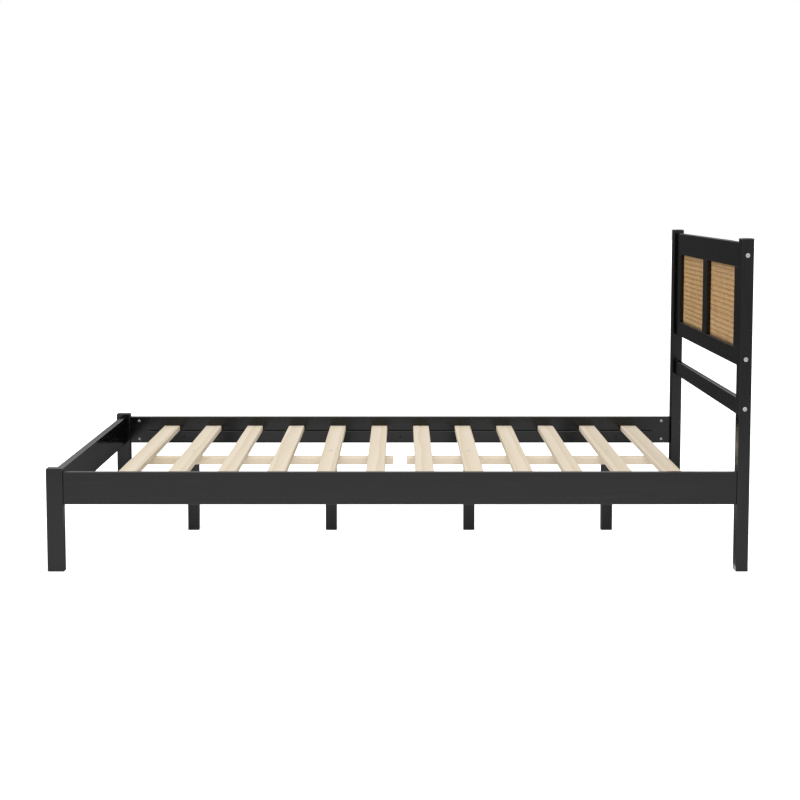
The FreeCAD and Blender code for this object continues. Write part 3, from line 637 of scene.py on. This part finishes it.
    def past_the_pairs(along, side):
        """Gives the height of a slanting strand: over one kind of pair and under the other."""
        swell = add(tree, "ShaderNodeMath", (along,), operation="COSINE")
        return add(tree, "ShaderNodeMath", (swell, side), operation="MULTIPLY")

    half_width, left_edge = halved(columns, -END_SHARE)
    half_height, low_edge = halved(rows, END_SHARE)
    families = [
        family(add(tree, "ShaderNodeMath", (rows, 2.0), operation="MULTIPLY"),
               (left_edge, paired(rows)), 0.0,
               add(tree, "ShaderNodeMath", (half_width, 2.0), operation="MULTIPLY"), quarter,
               lambda x, y: over_and_under(x, y, 1.0), given["Strand Width"]),
        family(add(tree, "ShaderNodeMath", (columns, 2.0), operation="MULTIPLY"),
               (paired(columns), low_edge), math.radians(90),
               add(tree, "ShaderNodeMath", (half_height, 2.0), operation="MULTIPLY"), quarter,
               lambda x, y: over_and_under(y, x, -1.0), given["Strand Width"]),
    ]
    # A slanting strand is a line y = slope * x + offset, cut to the panel's outline
    both = add(tree, "ShaderNodeMath", (rows, columns), operation="ADD")
    counted = add(tree, "ShaderNodeMath", (both, -0.5, index), operation="MULTIPLY_ADD")
    centred = add(tree, "ShaderNodeMath", (counted, 0.5), operation="ADD")
    offset = add(tree, "ShaderNodeMath", (centred, pitch), operation="MULTIPLY")
    step = add(tree, "ShaderNodeMath", (quarter, math.sqrt(2)), operation="MULTIPLY")
    for slope in (1.0, -1.0):
        aside = add(tree, "ShaderNodeMath", (offset, -slope), operation="MULTIPLY")
        enters = add(tree, "ShaderNodeMath", (aside, low_edge), operation="ADD")
        leaves = add(tree, "ShaderNodeMath", (aside, half_height), operation="ADD")
        left = add(tree, "ShaderNodeMath", (left_edge, enters), operation="MAXIMUM")
        right = add(tree, "ShaderNodeMath", (half_width, leaves), operation="MINIMUM")
        start_y = add(tree, "ShaderNodeMath", (left, slope, offset), operation="MULTIPLY_ADD")
        level = add(tree, "ShaderNodeMath", (right, left), operation="SUBTRACT")
        length = add(tree, "ShaderNodeMath", (level, math.sqrt(2)), operation="MULTIPLY")
        families.append(family(
            both, (left, start_y), slope * math.radians(45), length, step,
            lambda x, y, side=-slope: past_the_pairs(x, side), given["Slanting Width"]))
    web = add(tree, "GeometryNodeJoinGeometry")
    for strands in families:
        fill(tree, web, (strands,))
    hung = add(tree, "GeometryNodeTransform", {
        "Geometry": web, "Translation": given["Centre"], "Rotation": (math.radians(90), 0.0, 0.0)})
    end_tree(tree, hung, given["Material"])
    return tree


# Sizes and colours that a user would change

class PaintSettings(bpy.types.PropertyGroup):
    """Satin black paint of the frame"""
    colour: StringProperty(name="Colour", description="Body of the black paint", default="#080808")
    dark: StringProperty(name="Dark", description="Paint over early wood", default="#040404")
    light: StringProperty(name="Light", description="Paint over late wood", default="#131313")
    edge_colour: StringProperty(name="Arris", description="Thin paint along the arrises", default="#1F1E1D")
    edge_wear: FloatProperty(name="Arris wear", description="How far wear reaches from an arris",
                             default=1.1 * MM, min=0.0, unit="LENGTH")
    roughness: FloatProperty(name="Roughness", description="Sheen of the paint", default=0.15,
                             min=0.0, max=1.0, subtype="FACTOR")
    gloss: FloatProperty(name="Gloss", description="Strength of the paint's reflections", default=0.5,
                         min=0.0, max=1.0, subtype="FACTOR")
    dust: FloatProperty(name="Dust", description="How much dust dulls a ledge against an upright piece",
                        default=0.7, min=0.0, max=1.0, subtype="FACTOR")
    dust_reach: FloatProperty(name="Dust reach", description="How far dust reaches from an upright piece",
                              default=25 * MM, min=MM, unit="LENGTH")


class PineSettings(bpy.types.PropertyGroup):
    """Bare planed pine of the slats and the centre beam"""
    early_wood: StringProperty(name="Early wood", description="Palest bands", default="#DBD0BE")
    middle_wood: StringProperty(name="Middle", description="Most of a face", default="#D3C7B2")
    late_wood: StringProperty(name="Late wood", description="Warmer bands", default="#C1AE90")
    warm_wood: StringProperty(name="Warm areas", description="Slow changes of tone", default="#CDBB9F")
    knot: StringProperty(name="Knots", description="Pin knots and resin canals", default="#A77B50")
    ring_width: FloatProperty(name="Ring width", default=43.9823 * MM, min=MM, unit="LENGTH",
                              description="Width of one year's growth where a flat face cuts it")
    wander: FloatProperty(name="Wander", description="How far the rings wander across a board",
                          default=30 * MM, min=0.0, unit="LENGTH")
    easing: FloatProperty(name="Easing", description="Rounding of the arrises", default=0.8 * MM,
                          min=0.0, unit="LENGTH")


class CaneSettings(bpy.types.PropertyGroup):
    """Woven cane of the headboard"""
    pitch: FloatProperty(name="Mesh", description="Distance between pairs of strands",
                         default=15.6 * MM, min=4 * MM, unit="LENGTH")
    strand_width: FloatProperty(name="Strand width", description="Width of an upright or level strand",
                                default=2.8 * MM, min=MM, unit="LENGTH")
    binder_width: FloatProperty(name="Slanting width", description="Width of a slanting strand",
                                default=3.8 * MM, min=MM, unit="LENGTH")
    thickness: FloatProperty(name="Strand thickness", description="Thickness of the split bark",
                             default=0.9 * MM, min=0.1 * MM, unit="LENGTH")
    wave: FloatProperty(name="Wave", description="How far a strand bends out of the panel at a crossing",
                        default=1 * MM, min=0.0, unit="LENGTH")
    colour: StringProperty(name="Colour", description="Bark", default="#CEA772")
    dark: StringProperty(name="Dark", description="Darkest strands", default="#B38B57")
    light: StringProperty(name="Light", description="Palest strands", default="#DDBF90")
    # Partly the colour of a strand's bare sides, partly painted shade in the gaps between strands
    cut_and_shaded_colour: StringProperty(name="Cut side", description="Sides of a strand, without bark",
                             default="#74502C")
    # The scars' colour is also the colour of the painted shade in the gaps between strands
    scar: StringProperty(name="Scars", description="Leaf scars and stain", default="#6B4A26")


class HardwareSettings(bpy.types.PropertyGroup):
    """Bolts, barrel nuts and screws"""
    head: FloatProperty(name="Head", description="Head of a bolt", default=13 * MM, min=MM, unit="LENGTH")
    head_thickness: FloatProperty(name="Head thickness", description="Thickness of a bolt's head",
                                  default=2.5 * MM, min=MM, unit="LENGTH")
    head_round: FloatProperty(name="Head rounding", description="Rounding of a bolt's head",
                              default=0.8 * MM, min=0.0, unit="LENGTH")
    shank: FloatProperty(name="Shank", description="Shank of a bolt", default=6 * MM, min=MM,
                         unit="LENGTH")
    headboard_bolt: FloatProperty(name="Headboard bolt", default=102 * MM, min=40 * MM, unit="LENGTH",
                                  description="Length of a headboard bolt with its head")
    socket: FloatProperty(name="Socket", description="Hexagon socket across its flats",
                          default=4 * MM, min=MM, unit="LENGTH")
    socket_depth: FloatProperty(name="Socket depth", description="Depth of the hexagon socket",
                                default=1.8 * MM, min=0.1 * MM, unit="LENGTH")
    nut: FloatProperty(name="Barrel nut", description="Diameter of a barrel nut", default=10 * MM,
                       min=MM, unit="LENGTH")
    nut_length: FloatProperty(name="Barrel nut length", description="Length of a barrel nut",
                              default=16 * MM, min=MM, unit="LENGTH")
    screw_head: FloatProperty(name="Screw head", description="Head of a small wood screw",
                              default=7 * MM, min=MM, unit="LENGTH")
    screw_shank: FloatProperty(name="Screw shank", description="Shank of a small wood screw",
                               default=3.5 * MM, min=MM, unit="LENGTH")
    screw_length: FloatProperty(name="Screw length", description="Length of a small wood screw",
                                default=32 * MM, min=10 * MM, unit="LENGTH")
    screw_inset: FloatProperty(name="Screw inset", description="Distance of a slat's screws from its ends",
                               default=8 * MM, min=0.0, unit="LENGTH")
    ledger_screws: IntProperty(name="Ledger screws", description="Screws along each ledger",
                               default=7, min=2)
    colour: StringProperty(name="Zinc", description="Bright zinc", default="#D3D5D7")
    dark: StringProperty(name="Zinc bloom", description="Dull zinc", default="#B5B8BB")
    oxide: StringProperty(name="Oxide", description="Black oxide", default="#17181A")
    rubbed: StringProperty(name="Rubbed oxide", description="Oxide rubbed by the driver",
                           default="#5A5B5C")


class StageSettings(bpy.types.PropertyGroup):
    """Camera, lamps, floor and the room that the paint mirrors"""
    camera_place: FloatVectorProperty(name="Camera", description="Place of the camera",
                                      default=(6.2272, 0.0110, 1.0863), subtype="TRANSLATION")
    pitch: FloatProperty(name="Pitch", description="How far the camera looks down",
                         default=math.radians(6.327), subtype="ANGLE")
    lens: FloatProperty(name="Focal length", description="In millimetres on a 36 mm sensor",
                        default=86.876, min=1.0, subtype="DISTANCE_CAMERA")
    shift: FloatVectorProperty(name="Shift", description="Shift of the lens, in parts of the frame",
                               size=2, default=(-0.00186, 0.0108))
    floor: StringProperty(name="Floor", description="Colour of the floor", default="#F4F4F4")
    floor_lift: FloatProperty(name="Floor lift", default=0.62, min=0.0,
                              description="Light added to the floor for the camera alone")
    floor_mirrored: FloatProperty(name="Floor near the bed", default=0.12, min=0.0,
                                  description="Brightness of the floor under the bed, in reflections")
    bright_floor: FloatVectorProperty(name="Bright floor", default=(1.5, -0.3, 0.0),
                                      description="Where the floor is brightest, in reflections",
                                      subtype="TRANSLATION")
    floor_ahead: FloatProperty(name="Floor ahead", default=1.08, min=0.0,
                               description="Brightness of the floor where it is brightest, in reflections")
    floor_afar: FloatProperty(name="Floor afar", default=0.5, min=0.0,
                              description="Brightness of the floor well in front, in reflections")
    # Painted shadow of the bed beside the legs, seen only in reflections
    leg_shade: FloatProperty(name="Leg shade", default=0.88, min=0.0, max=1.0, subtype="FACTOR",
                             description="How much dimmer the floor is beside the legs, in reflections")
    bright_side: FloatVectorProperty(name="Bright side", description="Where the room is brightest",
                                     default=(0.52, -0.4, 0.75), subtype="DIRECTION")
    front: FloatProperty(name="Front", default=1.4, min=0.0,
                         description="Brightness of the room in front of the bed and above it")
    horizon: FloatProperty(name="Horizon", default=0.75, min=0.0,
                           description="Brightness of the room in front of the bed, low down")
    behind: FloatProperty(name="Behind", default=0.05, min=0.0,
                          description="Brightness of the room and the floor behind the bed")
    wall: FloatProperty(name="Wall", default=0.65, min=0.0,
                        description="Brightness of the wall behind the bed, above the floor")
    # Painted shade in corners: the room and the floor are dimmed in a reflection of a reflection
    corner_shade: FloatProperty(name="Corner shade", default=0.96, min=0.0, max=1.0, subtype="FACTOR",
                                description="How much dimmer the room is in a reflection of a reflection")
    dusk: FloatProperty(name="Dim edge", description="Where the dim part of the room ends",
                        default=-0.2, min=-1.0, max=1.0)
    dawn: FloatProperty(name="Bright edge", description="Where the bright part of the room begins",
                        default=0.7, min=-1.0, max=1.0)
    softbox: FloatProperty(name="Softbox", description="Side of either lamp", default=4.0, min=0.1,
                           unit="LENGTH")
    softbox_power: FloatProperty(name="Softbox power", description="Overhead light in watts",
                                 default=27.0, min=0.0, unit="POWER")
    softbox_place: FloatVectorProperty(name="Softbox place", description="Place of the overhead light",
                                       default=(1.0, 1.15, 3.4), subtype="TRANSLATION")
    fill_power: FloatProperty(name="Fill power", description="Light from the front in watts",
                              default=105.0, min=0.0, unit="POWER")
    fill_place: FloatVectorProperty(name="Fill place", description="Place of the light from the front",
                                    default=(6.0, 0.0, 1.4), subtype="TRANSLATION")


# The studio

# Width of the camera's sensor in millimetres
SENSOR_WIDTH = 36.0
# How far the floor reaches from the bed's middle, in metres
FLOOR_REACH = 40.0
# Where the floor's brightness changes in reflections, in metres: outwards from the bed's middle,
# outwards from the brightest place, from behind to in front, and from the legs' inner sides inwards
DIM_ZONE = (1.0, 4.0)
BRIGHT_ZONE = (1.0, 5.0)
FRONT_ZONE = (-0.8, 0.9)
LEG_ZONE = (0.25, 0.13)
# Between these heights of a direction, as sines, the wall behind the bed brightens
WALL_RISE = (0.1, 0.16)
# From this height up the room in front is at its brightest
FRONT_RISE = 0.3


def seen_by(tree, settings, first_turn):
    """Gives a ray's path, whether it sees a white background, and how bright a room it mirrors.

    Where two painted faces mirror each other, in a corner, the room and the floor are painted dimmer at the
    second turn: painted shade in the corner.
    The renderer counts one turn more at the world than at the floor.
    """
    path = add(tree, "ShaderNodeLightPath").outputs
    white = add(tree, "ShaderNodeMath", (path["Is Camera Ray"], path["Is Transmission Ray"]),
                operation="MAXIMUM")
    # Painted shade: a glossy ray that has already turned once sees a dimmer room and floor
    later = add(tree, "ShaderNodeMath", (path["Ray Depth"], first_turn + 0.5), operation="GREATER_THAN")
    again = add(tree, "ShaderNodeMath", (path["Is Glossy Ray"], later), operation="MULTIPLY")
    mirrored = add(tree, "ShaderNodeMath", (again, -settings.corner_shade, 1.0), operation="MULTIPLY_ADD")
    return path, white, mirrored


def floor_in_reflections(tree, settings):
    """Gives the floor's brightness by place, as the paint mirrors it.

    It is bright in front of the bed, dim under and behind it, and darkest beside the legs, where a painted
    shadow of the bed lies.
    """
    place = add(tree, "ShaderNodeTexCoord").outputs["Object"]
    axes = add(tree, "ShaderNodeSeparateXYZ", (place,)).outputs
    from_bed = add(tree, "ShaderNodeVectorMath", (place,), operation="LENGTH").outputs["Value"]
    behind = add(tree, "ShaderNodeMapRange", {
        "Value": from_bed, "From Min": DIM_ZONE[0], "From Max": DIM_ZONE[1],
        "To Min": settings.floor_mirrored, "To Max": settings.behind})
    from_spot = add(tree, "ShaderNodeVectorMath", (place, settings.bright_floor),
                    operation="DISTANCE").outputs["Value"]
    ahead = add(tree, "ShaderNodeMapRange", {
        "Value": from_spot, "From Min": BRIGHT_ZONE[0], "From Max": BRIGHT_ZONE[1],
        "To Min": settings.floor_ahead, "To Max": settings.floor_afar})
    forward = add(tree, "ShaderNodeMapRange", {
        "Value": axes["X"], "From Min": FRONT_ZONE[0], "From Max": FRONT_ZONE[1]})
    level = add(tree, "ShaderNodeMix", {0: forward, 2: behind, 3: ahead})
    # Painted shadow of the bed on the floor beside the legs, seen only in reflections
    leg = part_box("foot_leg_right")[1]
    leg_side = -leg.y
    from_middle = add(tree, "ShaderNodeMath", (axes["Y"],), operation="ABSOLUTE")
    near_leg = add(tree, "ShaderNodeMapRange", {
        "Value": from_middle, "From Min": leg_side - LEG_ZONE[0], "From Max": leg_side - LEG_ZONE[1]})
    inside = add(tree, "ShaderNodeMath", (from_middle, leg_side), operation="LESS_THAN")
    under = add(tree, "ShaderNodeMath", (axes["X"], leg.x), operation="LESS_THAN")
    between = add(tree, "ShaderNodeMath", (inside, under), operation="MULTIPLY")
    shaded = add(tree, "ShaderNodeMath", (near_leg, between), operation="MULTIPLY")
    kept = add(tree, "ShaderNodeMath", (shaded, -settings.leg_shade, 1.0), operation="MULTIPLY_ADD")
    return add(tree, "ShaderNodeMath", (level, kept), operation="MULTIPLY")


def pale_floor(settings):
    """Matt pale floor, lifted towards white for the camera but for a trace of the bed's shadow.

    The satin paint is seen at a grazing angle and would mirror all of a white floor, so its
    reflections see a floor whose brightness changes with the place.
    """
    material, tree, shader = new_material("matt_pale_floor")
    path, white, mirrored = seen_by(tree, settings, 1)
    fill(tree, shader, {"Base Color": linear(settings.floor), "Roughness": 0.9,
                        "Specular IOR Level": 0.0})
    lifted = add(tree, "ShaderNodeMath", (white, settings.floor_lift), operation="MULTIPLY")
    lift = add(tree, "ShaderNodeEmission", {"Strength": lifted})
    lit = add(tree, "ShaderNodeAddShader", (shader, lift))
    level = floor_in_reflections(tree, settings)
    dimmed = add(tree, "ShaderNodeMath", (level, mirrored), operation="MULTIPLY")
    dim = add(tree, "ShaderNodeEmission", {"Strength": dimmed})
    mixed = add(tree, "ShaderNodeMixShader", (path["Is Glossy Ray"], lit, dim))
    fill(tree, tree.get_output_node("ALL"), (mixed,))
    return material


def studio_world(settings):
    """White for the camera, and for the bed a room that is bright in front and above, dim behind."""
    world = bpy.data.worlds.new("studio_room")
    world.use_nodes = True
    tree = world.node_tree
    tree.nodes.clear()
    path, white, mirrored = seen_by(tree, settings, 2)
    direction = add(tree, "ShaderNodeTexCoord").outputs["Generated"]
    facing = add(tree, "ShaderNodeVectorMath", (direction, settings.bright_side),
                 operation="DOT_PRODUCT").outputs["Value"]
    height = add(tree, "ShaderNodeSeparateXYZ", (direction,)).outputs["Z"]
    rising = add(tree, "ShaderNodeMapRange", {
        "Value": height, "From Max": FRONT_RISE, "To Min": settings.horizon, "To Max": settings.front})
    room = add(tree, "ShaderNodeMapRange", {
        "Value": facing, "From Min": settings.dusk, "From Max": settings.dawn,
        "To Min": settings.behind, "To Max": rising}, interpolation_type="SMOOTHSTEP")
    wall = add(tree, "ShaderNodeMapRange", {
        "Value": height, "From Min": WALL_RISE[0], "From Max": WALL_RISE[1], "To Max": settings.wall})
    brighter = add(tree, "ShaderNodeMath", (room, wall), operation="MAXIMUM")
    around = add(tree, "ShaderNodeMath", (brighter, mirrored), operation="MULTIPLY")
    strength = add(tree, "ShaderNodeMix", {0: white, 2: around, 3: 1.0})
    back = add(tree, "ShaderNodeBackground", {"Color": (1.0, 1.0, 1.0, 1.0), "Strength": strength})
    add(tree, "ShaderNodeOutputWorld", (back,))
    return world


def hang_softbox(name, place, side, power):
    """Hangs a square area light that shines on the bed's middle."""
    light = bpy.data.lights.new(name, "AREA")
    light.size = side
    light.energy = power
    lamp = bpy.data.objects.new(name, light)
    lamp.location = place
    lamp.rotation_euler = (-Vector(place)).to_track_quat("-Z", "Y").to_euler()
    bpy.context.scene.collection.objects.link(lamp)
    return lamp


# One operator for each group of pieces

class BED_OT_paint_frame(bpy.types.Operator):
    """Paint the legs, posts, rails, ledgers and headboard boards black"""
    bl_idname = "bed.paint_frame"
    bl_label = "Paint the frame"

    def execute(self, context):
        for grain, names in PAINTED.items():
            paint = satin_black_paint(context.scene.bed_paint, grain)
            for name in names:
                give(name, paint)
        return {"FINISHED"}


class BED_OT_plane_slats(bpy.types.Operator):
    """Give the slats and the centre beam their bare planed pine"""
    bl_idname = "bed.plane_slats"
    bl_label = "Plane the slats"

    def execute(self, context):
        slat_pitch = (centre(SLATS[-1]).y - centre(SLATS[0]).y) / (len(SLATS) - 1)
        beam_pitch = centre(BEAMS[1]).y - centre(BEAMS[0]).y
        for grain, names, pitch in (("x", SLATS, slat_pitch), ("y", BEAMS, beam_pitch)):
            pine = planed_pine(context.scene.bed_pine, grain, pitch)
            for name in names:
                give(name, pine)
        return {"FINISHED"}


class BED_OT_weave_cane(bpy.types.Operator):
    """Weave the two cane panels of the headboard"""
    bl_idname = "bed.weave_cane"
    bl_label = "Weave the cane"

    def execute(self, context):
        settings = context.scene.bed_cane
        material = natural_cane(settings)
        tree = webbing_tree()
        for seed, side in enumerate(SIDES):
            name = f"cane_panel_{side}"
            low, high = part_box(name)
            # An odd number of meshes puts a pair of strands on each middle line
            columns = int((high.x - low.x) / settings.pitch / 2) * 2 + 1
            rows = int((high.z - low.z) / settings.pitch / 2) * 2 + 1
            base = bpy.data.objects.new("web", bpy.data.meshes.new("web"))
            piece = run_tree(f"woven_cane_{side}", base, tree, {
                "Pitch": settings.pitch, "Columns": columns, "Rows": rows,
                "Strand Width": settings.strand_width, "Slanting Width": settings.binder_width,
                "Thickness": settings.thickness, "Wave": settings.wave, "Centre": centre(name),
                "Seed": seed, "Material": material})
            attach(piece, BODY)
            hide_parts(name)
        return {"FINISHED"}


class BED_OT_seat_bolts(bpy.types.Operator):
    """Seat the socket-headed bolts, their barrel nuts and the screws of the centre legs"""
    bl_idname = "bed.seat_bolts"
    bl_label = "Seat the bolts"

    def execute(self, context):
        settings = context.scene.bed_hardware
        zinc = zinc_steel(settings)
        head = settings.head / 2
        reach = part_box("headboard_bolts")[1].x
        rails = [centre(f"headboard_{rail}_rail") for rail in ("top", "panel", "cross")]
        seats = [((side * reach, rail.y, rail.z), (side, 0, 0))
                 for rail in rails for side in SIDES.values()]
        seat("headboard_bolts_turned", flat_headed_bolt(settings, settings.headboard_bolt), seats, zinc, 1,
             ["headboard_bolts"])
        for number, (name, end) in enumerate((("foot_leg_bolts", -1), ("head_post_bolts", 1)), start=2):
            low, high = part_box(name)
            seats = [((x, high.y if end > 0 else low.y, z), (0, end, 0))
                     for x in (low.x + head, high.x - head) for z in (low.z + head, high.z - head)]
            seat(f"{name}_turned", flat_headed_bolt(settings, high.y - low.y), seats, zinc, number,
                 [name])
        low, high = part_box("side_rail_barrel_nuts")
        radius = settings.nut / 2
        inner = high.x - settings.nut_length
        seats = [((side * inner, y, z), (-side, 0, 0)) for side in SIDES.values()
                 for y in (low.y + radius, high.y - radius) for z in (low.z + radius, high.z - radius)]
        seat("slotted_barrel_nuts", barrel_nut(settings), seats, zinc, 4,
             ["side_rail_barrel_nuts"])
        low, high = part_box("centre_leg_screws")
        seats = [((0, centre(f"centre_leg_{number}").y, high.z), (0, 0, 1)) for number in range(1, 5)]
        screw = countersunk_screw(settings.head, settings.shank, high.z - low.z,
                                  hexagon_ring(settings.socket), settings.socket_depth, 0.0)
        seat("centre_leg_screws_turned", screw, seats, zinc, 5, ["centre_leg_screws"])
        return {"FINISHED"}


class BED_OT_drive_screws(bpy.types.Operator):
    """Drive the small screws of the slats and the ledgers"""
    bl_idname = "bed.drive_screws"
    bl_label = "Drive the screws"

    def execute(self, context):
        settings = context.scene.bed_hardware
        recess = cross_ring(RECESS_WIDTH, settings.screw_head * RECESS_SHARE)
        sizes = (settings.screw_head, settings.screw_shank, settings.screw_length, recess,
                 SCREW_PROUD, SCREW_PROUD)
        seats = []
        for name in SLATS:
            low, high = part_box(name)
            for x in (low.x + settings.screw_inset, high.x - settings.screw_inset):
                seats.append(((x, centre(name).y, high.z), (0, 0, 1)))
        seat("slat_screws", countersunk_screw(*sizes), seats, zinc_steel(settings), 6)
        seats = []
        for side, sign in SIDES.items():
            low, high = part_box(f"slat_ledger_{side}")
            inner = low.x if sign > 0 else high.x
            step = (high.y - low.y) / settings.ledger_screws
            for number in range(settings.ledger_screws):
                y = low.y + step * (number + 0.5)
                seats.append(((inner, y, centre(f"slat_ledger_{side}").z), (-sign, 0, 0)))
        seat("ledger_screws", countersunk_screw(*sizes), seats, black_oxide_steel(settings), 7)
        return {"FINISHED"}


class BED_OT_set_stage(bpy.types.Operator):
    """Set up the pale floor, the soft lights and the camera"""
    bl_idname = "bed.set_stage"
    bl_label = "Set the stage"

    def execute(self, context):
        settings = context.scene.bed_stage
        floor_mesh = bpy.data.meshes.new("floor")
        corners = [(x * FLOOR_REACH, y * FLOOR_REACH, 0)
                   for x, y in ((-1, -1), (1, -1), (1, 1), (-1, 1))]
        floor_mesh.from_pydata(corners, [], [(0, 1, 2, 3)])
        floor = bpy.data.objects.new("floor", floor_mesh)
        context.scene.collection.objects.link(floor)
        floor_mesh.materials.append(pale_floor(settings))
        context.scene.world = studio_world(settings)
        hang_softbox("overhead_softbox", settings.softbox_place, settings.softbox, settings.softbox_power)
        front = hang_softbox("front_fill", settings.fill_place, settings.softbox, settings.fill_power)
        front.visible_glossy = False
        lens = bpy.data.cameras.new("camera")
        lens.lens = settings.lens
        lens.sensor_width = SENSOR_WIDTH
        lens.shift_x, lens.shift_y = settings.shift
        camera = bpy.data.objects.new("camera", lens)
        camera.location = settings.camera_place
        camera.rotation_euler = (math.radians(90) - settings.pitch, 0.0, math.radians(90))
        context.scene.collection.objects.link(camera)
        context.scene.camera = camera
        context.scene.view_settings.view_transform = "Standard"
        return {"FINISHED"}


class BED_PT_panel(bpy.types.Panel):
    """Lists the steps that dress the bed"""
    bl_idname = "BED_PT_panel"
    bl_label = "Platform Bed"
    bl_space_type = "VIEW_3D"
    bl_region_type = "UI"
    bl_category = "Platform Bed"

    def draw(self, context):
        for operator in OPERATORS:
            self.layout.operator(operator.bl_idname)


SETTINGS = {
    "bed_paint": PaintSettings, "bed_pine": PineSettings, "bed_cane": CaneSettings,
    "bed_hardware": HardwareSettings, "bed_stage": StageSettings,
}
OPERATORS = (BED_OT_paint_frame, BED_OT_plane_slats, BED_OT_weave_cane, BED_OT_seat_bolts,
             BED_OT_drive_screws, BED_OT_set_stage)


def register():
    for kind in (*SETTINGS.values(), *OPERATORS, BED_PT_panel):
        bpy.utils.register_class(kind)
    for name, kind in SETTINGS.items():
        setattr(bpy.types.Scene, name, PointerProperty(type=kind))


def unregister():
    for name in SETTINGS:
        delattr(bpy.types.Scene, name)
    for kind in reversed((*SETTINGS.values(), *OPERATORS, BED_PT_panel)):
        bpy.utils.unregister_class(kind)


def main():
    """Dresses the bed in order."""
    register()
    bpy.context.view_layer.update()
    for operator in OPERATORS:
        group, name = operator.bl_idname.split(".")
        getattr(getattr(bpy.ops, group), name)()


if __name__ == "__main__":
    main()
